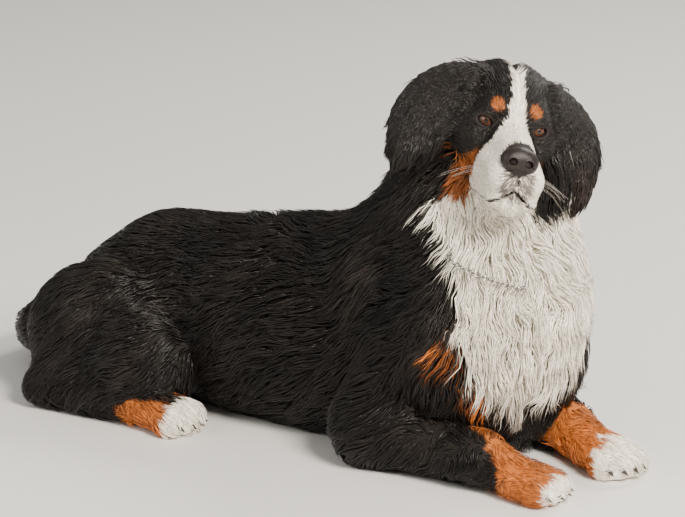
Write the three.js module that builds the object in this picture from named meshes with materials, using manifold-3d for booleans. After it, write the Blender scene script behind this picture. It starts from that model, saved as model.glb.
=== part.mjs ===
// A life-size Bernese mountain dog, lying on its chest with its forelegs stretched out
// and its head raised and turned to its right, as a still museum model.
// Units are millimetres. +X is the way the chest points, +Y is the dog's left and +Z is up.
// Sizes are those of a large male, about 690 mm at the withers when it stands.
import * as THREE from "three";
import Module from "manifold-3d";
import { mergeVertices } from "three/addons/utils/BufferGeometryUtils.js";

const wasm = await Module();
wasm.setup();

// Driving sizes of the body under its coat.
const CHEST_HALF_WIDTH = 128;
const BACK_HEIGHT = 285;
const CHEST_FRONT = 238;
const RUMP_BACK = -600;
const ELBOW = { x: 30, y: 148, z: 58 };
const GAP = 0.3;
const SEED = 20240611;

// The rear half of the spine curves to the dog's right, by this much at the hips.
const SWAY = 55;
const SWAY_START = -150;
const SWAY_LENGTH = 450;

// Where the head is and how it is held. The point is midway between the eyes.
const EYE_MIDDLE = [219.5, -70.7, 539];
const HEAD_YAW = -49;
const HEAD_PITCH = 0.5;
const HEAD_ROLL = -14;

const rad = THREE.MathUtils.degToRad;
const V = (x, y, z) => new THREE.Vector3(x, y, z);

// A repeatable stream of numbers from 0 to 1.
function numbers(seed) {
  let state = seed >>> 0;
  return () => {
    state = (state + 0x6d2b79f5) >>> 0;
    let t = state;
    t = Math.imul(t ^ (t >>> 15), t | 1);
    t ^= t + Math.imul(t ^ (t >>> 7), t | 61);
    return ((t ^ (t >>> 14)) >>> 0) / 4294967296;
  };
}

// Fields. Each one gives the distance from a point to a surface, below zero inside it.

// A round muscle or bone mass.
function blob(centre, radii) {
  return (p) => {
    const x = (p.x - centre[0]) / radii[0];
    const y = (p.y - centre[1]) / radii[1];
    const z = (p.z - centre[2]) / radii[2];
    const near = Math.hypot(x, y, z);
    const slope = Math.hypot(x / radii[0], y / radii[1], z / radii[2]);
    return slope < 1e-9 ? -Math.min(...radii) : (near * (near - 1)) / slope;
  };
}

// A limb that tapers from one round end to the other.
function limb(a, b, radiusA, radiusB) {
  const d = [b[0] - a[0], b[1] - a[1], b[2] - a[2]];
  const length2 = d[0] * d[0] + d[1] * d[1] + d[2] * d[2];
  return (p) => {
    const q = [p.x - a[0], p.y - a[1], p.z - a[2]];
    const t = THREE.MathUtils.clamp((q[0] * d[0] + q[1] * d[1] + q[2] * d[2]) / length2, 0, 1);
    const away = Math.hypot(q[0] - t * d[0], q[1] - t * d[1], q[2] - t * d[2]);
    return away - radiusA - t * (radiusB - radiusA);
  };
}

// Masses that run into one another over the given width.
function merged(pieces, blend) {
  return (p) => {
    let nearest = pieces[0](p);
    for (let i = 1; i < pieces.length; i++) {
      const next = pieces[i](p);
      const h = Math.max(blend - Math.abs(nearest - next), 0) / blend;
      nearest = Math.min(nearest, next) - (h * h * blend) / 4;
    }
    return nearest;
  };
}

const both = (make) => [make(1), make(-1)];
const grown = (field, amount) => (p) => field(p) - (typeof amount === "number" ? amount : amount(p));

function swayAt(x) {
  const back = Math.max(0, SWAY_START - x) / SWAY_LENGTH;
  return -SWAY * back * back;
}
const swayed = (field) => (p) => field(V(p.x, p.y - swayAt(p.x), p.z));

function slopeOf(field, p) {
  const e = 1;
  return V(
    field(V(p.x + e, p.y, p.z)) - field(V(p.x - e, p.y, p.z)),
    field(V(p.x, p.y + e, p.z)) - field(V(p.x, p.y - e, p.z)),
    field(V(p.x, p.y, p.z + e)) - field(V(p.x, p.y, p.z - e)),
  ).normalize();
}

// Moves a point along the field's slope to the given height over its surface.
function settle(field, p, height) {
  const q = p.clone();
  for (let i = 0; i < 6; i++) q.addScaledVector(slopeOf(field, q), height - field(q));
  return q;
}

// The first place where a ray from inside meets the surface.
function meet(field, from, way) {
  const at = (reach) => from.clone().addScaledVector(way, reach);
  let near = 0;
  let far = 0;
  for (let inside = -field(from); inside > 0; inside = -field(at(far))) {
    near = far;
    far += Math.max(inside * 0.7, 0.5);
  }
  for (let i = 0; i < 12; i++) {
    const middle = (near + far) / 2;
    if (field(at(middle)) < 0) near = middle;
    else far = middle;
  }
  return at(far);
}

// Solids.
function solidOf(geometry) {
  const bare = geometry.index ? geometry.toNonIndexed() : geometry.clone();
  bare.deleteAttribute("normal");
  bare.deleteAttribute("uv");
  const joined = mergeVertices(bare, 1e-3);
  const vertProperties = new Float32Array(joined.attributes.position.array);
  const triVerts = new Uint32Array(joined.index.array);
  const solid = new wasm.Manifold(new wasm.Mesh({ numProp: 3, vertProperties, triVerts }));
  if (solid.volume() > 0) return solid;
  return new wasm.Manifold(new wasm.Mesh({ numProp: 3, vertProperties, triVerts: triVerts.reverse() }));
}

function geometryOf(solid) {
  const mesh = solid.getMesh();
  const geometry = new THREE.BufferGeometry();
  const position = new Float32Array(mesh.numVert * 3);
  for (let i = 0; i < mesh.numVert; i++)
    for (let k = 0; k < 3; k++) position[i * 3 + k] = mesh.vertProperties[i * mesh.numProp + k];
  geometry.setAttribute("position", new THREE.BufferAttribute(position, 3));
  geometry.setIndex(new THREE.BufferAttribute(new Uint32Array(mesh.triVerts), 1));
  geometry.computeVertexNormals();
  return geometry;
}

const joinAll = (solids) => solids.reduce((a, b) => a.add(b));

function largest(solid) {
  const bodies = solid.decompose();
  return bodies.reduce((a, b) => (b.volume() > a.volume() ? b : a));
}

// A closed skin from rings of points that run between two poles.
function skinOf(startPole, rings, endPole) {
  const sides = rings[0].length;
  const points = [startPole, ...rings.flat(), endPole];
  const at = (ring, side) => 1 + ring * sides + (side % sides);
  const last = points.length - 1;
  const faces = [];
  for (let s = 0; s < sides; s++) {
    faces.push(0, at(0, s + 1), at(0, s));
    for (let r = 0; r + 1 < rings.length; r++) {
      faces.push(at(r, s), at(r, s + 1), at(r + 1, s));
      faces.push(at(r, s + 1), at(r + 1, s + 1), at(r + 1, s));
    }
    faces.push(last, at(rings.length - 1, s), at(rings.length - 1, s + 1));
  }
  const geometry = new THREE.BufferGeometry().setFromPoints(points);
  geometry.setIndex(faces);
  return geometry;
}

// The axes across a line at one place: one level, one as upright as it can be.
function across(curve, t) {
  const ahead = curve.getTangentAt(t);
  const level = V(0, 0, 1).cross(ahead);
  if (level.lengthSq() < 1e-4) level.set(0, 1, 0);
  level.normalize();
  return { ahead, level, upright: ahead.clone().cross(level) };
}

function rayWay(frame, angle, lean) {
  return frame.level
    .clone()
    .multiplyScalar(Math.cos(angle) * Math.cos(lean))
    .addScaledVector(frame.upright, Math.sin(angle) * Math.cos(lean))
    .addScaledVector(frame.ahead, Math.sin(lean));
}

// Wraps a field in a skin: rays leave a line inside it, square to the line along its length
// and leaning further and further past its two ends.
function wrap(field, line, rings, sides, leans = [30, 55, 76]) {
  const curve = new THREE.CatmullRomCurve3(line.map((p) => V(...p)));
  const stops = [
    ...leans.toReversed().map((lean) => [0, -lean]),
    ...Array.from({ length: rings }, (_, i) => [i / (rings - 1), 0]),
    ...leans.map((lean) => [1, lean]),
  ];
  const loops = stops.map(([t, lean]) => {
    const frame = across(curve, t);
    const from = curve.getPointAt(t);
    return Array.from({ length: sides }, (_, s) =>
      meet(field, from, rayWay(frame, (2 * Math.PI * s) / sides, rad(lean))),
    );
  });
  const startPole = meet(field, curve.getPointAt(0), curve.getTangentAt(0).negate());
  const endPole = meet(field, curve.getPointAt(1), curve.getTangentAt(1));
  return solidOf(skinOf(startPole, loops, endPole));
}

// Shares of a lock's length, its width and its height over the core at each ring of it.
const LOCK_RINGS = [
  { along: 0, width: 0.7, height: 0 },
  { along: 0.34, width: 1, height: 0.5 },
  { along: 0.7, width: 0.62, height: 0.95 },
];
const LOCK_SINK = 10;
const LOCK_THICK = 16;

// One flat, tapered lock. Its root is sunk in the core, it follows the surface along the lie
// of the coat, and its tip stands off by its rise.
function lock(core, root, lieAt, size, more = 0) {
  const rings = [];
  let place = root.clone();
  let walked = 0;
  const stepTo = (along) => {
    const steps = Math.max(1, Math.ceil(((along - walked) * size.length) / 25));
    for (let i = 0; i < steps; i++) {
      const normal = slopeOf(core, place);
      const way = lieAt(place).projectOnPlane(normal).normalize();
      way.addScaledVector(normal.clone().cross(way), size.curl * (along - 0.4)).normalize();
      place = settle(core, place.addScaledVector(way, ((along - walked) * size.length) / steps), 0);
    }
    walked = along;
  };
  for (const ring of LOCK_RINGS) {
    if (ring.along > 0) stepTo(ring.along);
    const normal = slopeOf(core, place);
    const way = lieAt(place).projectOnPlane(normal).normalize();
    const side = normal.clone().cross(way);
    const height = ring.along === 0 ? -LOCK_SINK : ring.height * size.rise - size.thick / 2;
    const middle = place.clone().addScaledVector(normal, height);
    const half = (size.width / 2) * ring.width + 4 * more;
    const deep = (size.thick / 2) * Math.sqrt(ring.width);
    if (ring.along === 0) middle.addScaledVector(way, -more);
    rings.push([
      middle.clone().addScaledVector(side, half).addScaledVector(normal, -deep - more),
      middle.clone().addScaledVector(normal, deep + more),
      middle.clone().addScaledVector(side, -half).addScaledVector(normal, -deep - more),
    ]);
  }
  stepTo(1);
  const normal = slopeOf(core, place);
  const way = lieAt(place).projectOnPlane(normal).normalize();
  const tip = place.clone().addScaledVector(normal, size.rise - size.thick * 0.4).addScaledVector(way, more * 8);
  const first = rings[0];
  const rootPole = first[0].clone().add(first[1]).add(first[2]).divideScalar(3);
  return solidOf(skinOf(rootPole, rings, tip));
}

// Places for locks on a core: rows across a line, each a place along it and a lean past its
// end, staggered, from one angle to another.
function rootsOn(core, line, { rows, low, high, spacing, open }, draw) {
  const curve = new THREE.CatmullRomCurve3(line.map((p) => V(...p)));
  const roots = [];
  rows.forEach(([t, lean], r) => {
    const frame = across(curve, t);
    const start = curve.getPointAt(t);
    const reach = (angle) => meet(core, start, rayWay(frame, rad(angle), rad(lean)));
    const waist = reach((low + high) / 2).distanceTo(start) * Math.cos(rad(lean));
    const count = Math.max(1, Math.round((rad(high - low) * waist) / spacing));
    for (let c = 0; c < count; c++) {
      const share = (c + 0.5 + (r % 2 ? 0.25 : -0.25) + 0.35 * (draw() - 0.5)) / count;
      const root = reach(THREE.MathUtils.lerp(low, high, share));
      if (open(root)) roots.push(root);
    }
  });
  return roots;
}

const evenRows = (count, from, to) =>
  Array.from({ length: count }, (_, i) => [THREE.MathUtils.lerp(from, to, i / Math.max(1, count - 1)), 0]);

// All the locks of one part, with the larger copies that cut its neighbours' locks clear. A
// lock that folds over itself in a tight crease is left out.
function coatOf(core, roots, lieAt, sizeAt, draw) {
  const locks = [];
  const locksMore = [];
  for (const root of roots) {
    const [length, width, rise] = sizeAt(root);
    const size = {
      length: length * (0.85 + 0.3 * draw()),
      width: width * (0.85 + 0.3 * draw()),
      rise: rise * (0.8 + 0.4 * draw()),
      thick: LOCK_THICK,
      curl: 0.9 * (draw() - 0.5),
    };
    const solid = lock(core, root, lieAt, size);
    const larger = lock(core, root, lieAt, size, GAP + 0.1);
    if (solid.volume() < 0.15 * size.length * size.width * size.thick) continue;
    locks.push(solid);
    locksMore.push(larger);
  }
  return { locks: joinAll(locks), locksMore: joinAll(locksMore) };
}

// The body's masses. Each list is one part of the body under its coat.
const TORSO_MASSES = [
  blob([-50, 0, 140], [235, CHEST_HALF_WIDTH, 140]),
  blob([-200, 0, 145], [200, CHEST_HALF_WIDTH + 10, 135]),
  blob([-350, 0, 138], [190, 122, 125]),
  blob([RUMP_BACK + 130, 0, 138], [125, 100, 108]),
  blob([-80, 0, BACK_HEIGHT - 22], [115, 48, 40]),
  limb([-90, 0, BACK_HEIGHT - 58], [-440, 0, BACK_HEIGHT - 58], 52, 50),
  blob([CHEST_FRONT - 105, 0, 190], [105, 100, 120]),
  ...both((s) => blob([80, s * 88, 185], [80, 50, 90])),
];
const TORSO_LINE = [
  [RUMP_BACK + 100, swayAt(RUMP_BACK + 100), 150],
  [-380, swayAt(-380), 142],
  [-200, swayAt(-200), 145],
  [0, 0, 155],
  [CHEST_FRONT - 85, 0, 180],
];
const torsoSkin = swayed(merged(TORSO_MASSES, 60));

const NECK_LINE = [
  [12, 0, 262],
  [88, 4, 360],
  [142, 8, 452],
];
const neckSkin = merged(
  [limb(NECK_LINE[0], NECK_LINE[1], 108, 92), limb(NECK_LINE[1], NECK_LINE[2], 92, 76), blob([130, 4, 280], [96, 98, 100])],
  40,
);

// Coat depth over the skin, deepest on the chest and neck.
const BODY_COAT = 30;
const THIGH_COAT = 27;
const TAIL_COAT = 34;
const CHEST_COAT = 74;
const NECK_COAT = 38;
function torsoCoat(p) {
  const forward = THREE.MathUtils.smoothstep(p.x, 20, 170);
  return THREE.MathUtils.lerp(BODY_COAT, CHEST_COAT, forward);
}
function legCoat(p) {
  return THREE.MathUtils.lerp(24, 8, THREE.MathUtils.smoothstep(p.x, 20, 170));
}
function neckCoat(p) {
  const forward = THREE.MathUtils.smoothstep(p.x, 60, 180);
  return THREE.MathUtils.lerp(NECK_COAT, CHEST_COAT, forward);
}

// Hind legs, folded beside the belly.
const thighSkin = (s) =>
  swayed(
    merged(
      [
        blob([-482, s * 108, 118], [122, 74, 112]),
        blob([-400, s * 148, 86], [82, 52, 78]),
        blob([-548, s * 85, 100], [58, 56, 84]),
        limb([-400, s * 168, 56], [-545, s * 165, 40], 46, 30),
      ],
      45,
    ),
  );
const THIGH_LINE = (s) => [
  [-555, s * 98 + swayAt(-555), 100],
  [-490, s * 118 + swayAt(-490), 110],
  [-405, s * 145 + swayAt(-405), 85],
];
const hindFootSkin = (s) =>
  swayed(
    merged(
      [
        limb([-560, s * 172, 30], [-385, s * 190, 29], 27, 29),
        blob([-335, s * 194, 27], [55, 38, 29]),
        ...toes([HIND_PAW.x, s * HIND_PAW.y, HIND_PAW.z], 0),
      ],
      12,
    ),
  );
const HIND_FOOT_LINE = (s) => [
  [-555, s * 173 + swayAt(-555), 28],
  [-430, s * 187 + swayAt(-430), 28],
  [-315, s * 196 + swayAt(-315), 24],
];

// Four toes side by side, pointing forward and a little outward, from the middle of the paw.
const TOES = 4;
const TOE_SPACING = 20;
const TOE_RADIUS = 14;
function toePlaces(middle, turn) {
  return Array.from({ length: TOES }, (_, i) => {
    const sideways = (i - (TOES - 1) / 2) * TOE_SPACING;
    const forward = 14 - Math.abs(sideways) * 0.45;
    const x = middle[0] + forward * Math.cos(turn) - sideways * Math.sin(turn);
    const y = middle[1] + forward * Math.sin(turn) + sideways * Math.cos(turn);
    return [x, y, middle[2]];
  });
}
const toes = (middle, turn) => toePlaces(middle, turn).map((at) => blob(at, [26, TOE_RADIUS, 22]));
const HIND_PAW = { x: -302, y: 197, z: 20 };

// Forelegs, stretched out in front. The left paw is further forward and nearer the middle.
const LEGS = {
  right: { side: -1, wrist: [222, -154, 44], paw: [296, -155, 25], turn: -0.03 },
  left: { side: 1, wrist: [250, 55, 44], paw: [330, 18, 24], turn: -0.42 },
};
const forelegSkin = ({ side, wrist }) =>
  merged(
    [
      limb([70, side * 118, 170], [ELBOW.x + 5, side * ELBOW.y, ELBOW.z + 10], 56, 50),
      limb([ELBOW.x, side * ELBOW.y, ELBOW.z], wrist, 50, 39),
    ],
    30,
  );
const FORELEG_LINE = ({ side, wrist }) => [
  [ELBOW.x, side * ELBOW.y, ELBOW.z],
  [(ELBOW.x + wrist[0]) / 2, (side * ELBOW.y + wrist[1]) / 2, (ELBOW.z + wrist[2]) / 2 + 4],
  [wrist[0] - 6, wrist[1], wrist[2]],
];
const toeMiddle = (paw, turn) => [paw[0] + 38, paw[1] + 38 * turn, 20];
const forepawSkin = ({ wrist, paw, turn }) =>
  merged(
    [
      limb(wrist, paw, 36, 30),
      blob([paw[0] + 8, paw[1], 25], [50, 42, 29]),
      ...toes(toeMiddle(paw, turn), turn),
    ],
    14,
  );
const FOREPAW_LINE = ({ wrist, paw, turn }) => [
  [wrist[0] + 4, wrist[1], wrist[2] - 4],
  [paw[0] + 4, paw[1], 27],
  [paw[0] + 32, paw[1] + 32 * turn, 22],
];

// The tail leaves the rump low, drops to the floor and curls to the dog's left.
const TAIL_LINE = [
  [-552, -48, 152],
  [-612, -56, 112],
  [-682, -54, 70],
  [-728, -15, 52],
  [-728, 70, 46],
  [-686, 152, 44],
  [-622, 208, 42],
];
const TAIL_RADII = [38, 34, 30, 27, 24, 21, 15];
const tailSkin = merged(
  TAIL_LINE.slice(1).map((end, i) => limb(TAIL_LINE[i], end, TAIL_RADII[i], TAIL_RADII[i + 1])),
  20,
);

// The head, in its own frame: x along the muzzle, y to its left, z up, from midway between the eyes.
const headPlace = new THREE.Matrix4().compose(
  V(...EYE_MIDDLE),
  new THREE.Quaternion().setFromEuler(new THREE.Euler(rad(HEAD_ROLL), rad(-HEAD_PITCH), rad(HEAD_YAW), "ZYX")),
  V(1, 1, 1),
);
const headBack = headPlace.clone().invert();
const inHead = (field) => (p) => field(p.clone().applyMatrix4(headBack));
const fromHead = (point) => V(...point).applyMatrix4(headPlace);
const placedInHead = (geometry) => solidOf(geometry.applyMatrix4(headPlace));

const EYE = { x: -7, y: 38, z: 0, radius: 12.5 };
const HEAD_MASSES = [
  blob([-80, 0, 6], [94, 74, 64]),
  ...both((s) => blob([-48, s * 46, -26], [58, 36, 46])),
  ...both((s) => blob([-14, s * 30, 17], [22, 22, 15])),
  limb([-5, 0, -26], [92, 0, -31], 34, 26),
  ...both((s) => limb([8, s * 22, -56], [84, s * 18, -58], 28, 25)),
  ...both((s) => limb([6, s * 28, -84], [70, s * 20, -84], 22, 19)),
  limb([-30, 0, -88], [64, 0, -98], 34, 20),
  blob([-100, 0, -45], [55, 60, 50]),
];
// The head is tilted, so the lips and the chin hang a little to the left.
const hung = (z) => 0.12 * Math.max(0, -20 - z);
const hanging = (field) => (p) => field(V(p.x, p.y - hung(p.z), p.z));
const headSkin = inHead(hanging(merged(HEAD_MASSES, 16)));
const HEAD_LINE = [
  [-115, 0, -8],
  [-60, 0, -14],
  [10, 0, -40],
  [82, 0, -50],
].map((p) => fromHead(p).toArray());
function headCoat(p) {
  const local = p.clone().applyMatrix4(headBack);
  return THREE.MathUtils.lerp(11, 2, THREE.MathUtils.smoothstep(local.x, -50, 20));
}

// The nose leather: a rounded pad with two nostrils.
const noseSkin = inHead(
  merged([blob([106, 0, -27], [16, 24, 18]), ...both((s) => blob([107, s * 15, -30], [12, 11, 12]))], 8),
);

function nostril(side) {
  const hole = new THREE.SphereGeometry(1, 10, 8);
  hole.scale(12, 4.6, 3.8);
  hole.rotateZ(rad(side * 28));
  hole.translate(119, side * 12.5, -29);
  return placedInHead(hole);
}

// The eyeball, and the round pieces that make its socket and its lids.
function eyeSphere(side, radius) {
  const ball = new THREE.SphereGeometry(radius, 12, 8);
  ball.rotateX(Math.PI / 2);
  ball.rotateZ(rad(side * 18));
  ball.translate(EYE.x, side * EYE.y, EYE.z);
  return placedInHead(ball);
}

// The almond-shaped opening between the lids.
function lidOpening(side) {
  const opening = new THREE.SphereGeometry(1, 12, 6);
  opening.scale(13, 12.6, 7.4);
  opening.rotateX(rad(side * 12));
  opening.translate(11, 0, -0.5);
  opening.rotateZ(rad(side * 18));
  opening.translate(EYE.x, side * EYE.y, EYE.z);
  return placedInHead(opening);
}

// The line of the mouth: a thin bent wedge from under the nose back to each corner.
function mouthLine() {
  const rings = [
    [16, 48, -106],
    [42, 44, -106],
    [66, 37, -101],
    [88, 20, -86],
    [100, 0, -71],
    [88, -20, -86],
    [66, -37, -101],
    [42, -44, -106],
    [16, -48, -106],
  ].map(([x, level, z]) => {
    const y = level + hung(z);
    const out = V(x - 20, level * 1.4, 0).normalize();
    const lip = V(x, y, z).addScaledVector(out, 10);
    const deep = V(x, y, z).addScaledVector(out, -16);
    return [lip.clone().setZ(z + 2.2), deep.clone().setZ(z + 1.4), lip.clone().setZ(z - 2.2)];
  });
  const poleOf = (ring) => ring[0].clone().add(ring[1]).add(ring[2]).divideScalar(3);
  return placedInHead(skinOf(poleOf(rings[0]), rings, poleOf(rings.at(-1))));
}

// A drop ear: a thick leaf that leaves the side of the skull and hangs, hollow on its inner side.
const EAR_LINE = [
  { at: [-66, 48, 42], width: 62, turn: 14 },
  { at: [-66, 75, 48], width: 84, turn: 26 },
  { at: [-64, 100, 22], width: 106, turn: 42 },
  { at: [-60, 127, -18], width: 110, turn: 50 },
  { at: [-55, 139, -62], width: 78, turn: 54 },
];
const EAR_TIP = [-52, 141, -98];
const EAR_THICK = 15;
const EAR_CUP = 11;
function earShell(side, more) {
  const flip = ([x, y, z]) => V(x, side * y, z);
  const rings = EAR_LINE.map(({ at, width, turn }, i) => {
    const next = i + 1 < EAR_LINE.length ? EAR_LINE[i + 1].at : EAR_TIP;
    const down = flip(next).sub(flip(at)).normalize();
    const front = V(Math.cos(rad(turn)), -side * Math.sin(rad(turn)), 0).projectOnPlane(down).normalize();
    const out = front.clone().cross(down).multiplyScalar(side);
    const middle = flip(at).addScaledVector(down, i === 0 ? -more : 0);
    const half = width / 2 + more;
    const shares = [-1, -0.5, 0, 0.5, 1];
    const lift = (share) => EAR_CUP * (1 - share * share);
    const edge = (share) => (EAR_THICK / 2) * (1 - 0.6 * share * share) + more * 1.2;
    const outer = shares.map((f) =>
      middle.clone().addScaledVector(front, f * half).addScaledVector(out, lift(f) + edge(f)),
    );
    const inner = shares.toReversed().map((f) =>
      middle.clone().addScaledVector(front, f * (half - 0.4)).addScaledVector(out, lift(f) - edge(f)),
    );
    return [...outer, ...inner];
  });
  const poleOf = (ring) => ring.reduce((sum, p) => sum.add(p), V(0, 0, 0)).divideScalar(ring.length);
  const tip = flip(EAR_TIP).addScaledVector(V(0, 0, -1), more);
  return placedInHead(skinOf(poleOf(rings[0].map((p) => p.clone())), rings, tip));
}

// The fringe of an ear: locks that hang past its lower and rear edges.
const FRINGE = { count: 6, length: 50, width: 32, thick: 8 };
function earFringe(side, more) {
  const curve = new THREE.CatmullRomCurve3(
    [...EAR_LINE.slice(1), { at: EAR_TIP, width: 10, turn: 52 }].map(({ at, width, turn }) =>
      V(at[0] - width * 0.36 * Math.cos(rad(turn)), side * (at[1] + width * 0.36 * Math.sin(rad(turn))), at[2]),
    ),
  );
  const locks = Array.from({ length: FRINGE.count }, (_, i) => {
    const t = (i + 0.5) / FRINGE.count;
    const at = curve.getPointAt(t);
    const down = curve.getTangentAt(t);
    const back = V(-0.62, side * 0.78, -0.35).lerp(V(0, side * 0.1, -1), t * t).normalize();
    const way = back.multiplyScalar(0.8).addScaledVector(down, 0.6).normalize();
    const out = V(0.75, side * 0.66, 0);
    const across = way.clone().cross(out).normalize();
    const rings = [0, 0.5].map((along) => {
      const half = (FRINGE.width / 2) * (1 - 0.3 * along) + 4 * more;
      const deep = (FRINGE.thick / 2) * (1 - 0.3 * along) + more;
      const middle = at.clone().addScaledVector(way, FRINGE.length * (along - 0.3) - (along ? 0 : more));
      return [
        middle.clone().addScaledVector(across, half).addScaledVector(out, -deep),
        middle.clone().addScaledVector(out, deep),
        middle.clone().addScaledVector(across, -half).addScaledVector(out, -deep),
      ];
    });
    const first = rings[0];
    const rootPole = first[0].clone().add(first[1]).add(first[2]).divideScalar(3);
    const tip = at.clone().addScaledVector(way, FRINGE.length * 0.7 + 6 * more).addScaledVector(V(0, 0, -1), 8);
    return placedInHead(skinOf(rootPole, rings, tip));
  });
  return joinAll(locks);
}

// A claw: a short cone that curves down, at the front of a toe.
const CLAW = { length: 19, radius: 4, drop: 5, sides: 6, into: 16 };
function claw({ at, turn }, more = 0) {
  const reach = CLAW.length + 2 * more;
  const rings = [0, 0.5].map((along) => {
    const radius = CLAW.radius * (1 - 0.45 * along) + more;
    return Array.from({ length: CLAW.sides }, (_, i) => {
      const a = (2 * Math.PI * i) / CLAW.sides;
      return V(reach * along - more, radius * Math.cos(a), radius * Math.sin(a) - CLAW.drop * along * along);
    });
  });
  const geometry = skinOf(V(-more, 0, 0), rings, V(reach, 0, -CLAW.drop));
  geometry.rotateZ(turn);
  geometry.translate(at[0] + CLAW.into * Math.cos(turn), at[1] + CLAW.into * Math.sin(turn), at[2]);
  return solidOf(geometry);
}

// The slim chain collar lies in the coat, low on the chest and high on the nape. It is a
// closed string of small diamond-shaped links, each widest at its middle.
const CHAIN = { middle: [110, 0, 363], slope: 27, links: 36, thick: 3, thin: 1.5 };
function chainRoute(coat) {
  const forward = V(Math.cos(rad(CHAIN.slope)), 0, -Math.sin(rad(CHAIN.slope)));
  return Array.from({ length: CHAIN.links }, (_, i) => {
    const a = (2 * Math.PI * i) / CHAIN.links;
    const way = forward.clone().multiplyScalar(Math.cos(a)).addScaledVector(V(0, 1, 0), Math.sin(a));
    return meet(coat, V(...CHAIN.middle), way);
  });
}

// A closed loop of four-cornered rings through the given places.
function loopOf(places) {
  const points = places.flatMap(({ at, radius }, i) => {
    const next = places[(i + 1) % places.length].at;
    const before = places[(i + places.length - 1) % places.length].at;
    const ahead = next.clone().sub(before).normalize();
    const out = at.clone().sub(V(...CHAIN.middle)).projectOnPlane(ahead).normalize();
    const side = ahead.clone().cross(out);
    return [0, 1, 2, 3].map((k) => {
      const a = (k * Math.PI) / 2;
      return at.clone().addScaledVector(out, radius * Math.cos(a)).addScaledVector(side, radius * Math.sin(a));
    });
  });
  const at = (ring, side) => (ring % places.length) * 4 + (side % 4);
  const faces = places.flatMap((_, r) =>
    [0, 1, 2, 3].flatMap((k) => [at(r, k), at(r + 1, k), at(r, k + 1), at(r, k + 1), at(r + 1, k), at(r + 1, k + 1)]),
  );
  const geometry = new THREE.BufferGeometry().setFromPoints(points);
  geometry.setIndex(faces);
  return solidOf(geometry);
}

// Assembly. Each part has a core, which on coated parts reaches half way to the tips of the
// coat, and may have locks. The larger copy of a core cuts its neighbours clear of it.
const CORE_SHARE = 0.5;
const parts = new Map();
const cores = new Map();
function addPart(name, colour, roughness, pieces) {
  parts.set(name, { colour, roughness, ...pieces });
}

function wrapped(field, line, rings, sides, leans) {
  return {
    core: wrap(field, line, rings, sides, leans),
    coreMore: wrap(grown(field, GAP), line, rings, sides, leans),
  };
}

const BLACK = 0x15120f;
const RUST = 0x9a4a1c;
const WHITE = 0xf1e6d2;

const share = (depth) => (typeof depth === "number" ? depth * CORE_SHARE : (p) => depth(p) * CORE_SHARE);
const torsoCore = grown(torsoSkin, share(torsoCoat));
const neckCore = grown(neckSkin, share(neckCoat));
const tailCore = grown(tailSkin, share(TAIL_COAT));
const thighCore = { left: grown(thighSkin(1), share(THIGH_COAT)), right: grown(thighSkin(-1), share(THIGH_COAT)) };
const headCore = grown(headSkin, headCoat);
const legCore = {
  left: grown(forelegSkin(LEGS.left), share(legCoat)),
  right: grown(forelegSkin(LEGS.right), share(legCoat)),
};
const clearOf = (fields, by) => (p) => fields.every((field) => field(p) > by) && p.z > 25;

// The lie of the coat: back and down along the body, straight down on the chest and bib.
function bodyLie(p) {
  const chest = THREE.MathUtils.smoothstep(p.x, 60, 230);
  const side = THREE.MathUtils.smoothstep(Math.abs(p.y - swayAt(p.x)), 20, 120);
  return V(-1 + 0.95 * chest, 0, -0.55 * side - 0.9 * chest);
}
function neckLie(p) {
  const front = THREE.MathUtils.smoothstep(p.x, 60, 200);
  return V(-0.75 + 0.85 * front, 0, -0.8);
}
const thighLie = () => V(-0.8, 0, -0.75);
function tailLie(p) {
  let nearest = 0;
  TAIL_LINE.forEach((place, i) => {
    if (V(...place).distanceTo(p) < V(...TAIL_LINE[nearest]).distanceTo(p)) nearest = i;
  });
  const next = Math.min(nearest + 1, TAIL_LINE.length - 1);
  return V(...TAIL_LINE[next]).sub(V(...TAIL_LINE[next - 1])).normalize();
}
const legLie = () => V(-0.75, 0, -0.6);

const draw = numbers(SEED);
const headWrap = wrapped(headCore, HEAD_LINE, 14, 20, [30, 60]);
const noseWrap = wrapped(noseSkin, [[100, 0, -28], [108, 0, -28]].map((p) => fromHead(p).toArray()), 2, 14, [35, 65]);
const sockets = both((s) => eyeSphere(s, EYE.radius + GAP + 0.1));
const lids = both((s) =>
  eyeSphere(s, EYE.radius + 4).subtract(eyeSphere(s, EYE.radius + GAP + 0.1)).subtract(lidOpening(s)),
);
let head = headWrap.core.subtract(joinAll(sockets)).subtract(joinAll(both(lidOpening)));
head = head.add(joinAll(lids)).subtract(mouthLine());
addPart("head", BLACK, 0.7, { ...headWrap, core: head });
addPart("nose", 0x2a2220, 0.35, { ...noseWrap, core: noseWrap.core.subtract(joinAll(both(nostril))) });

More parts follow.
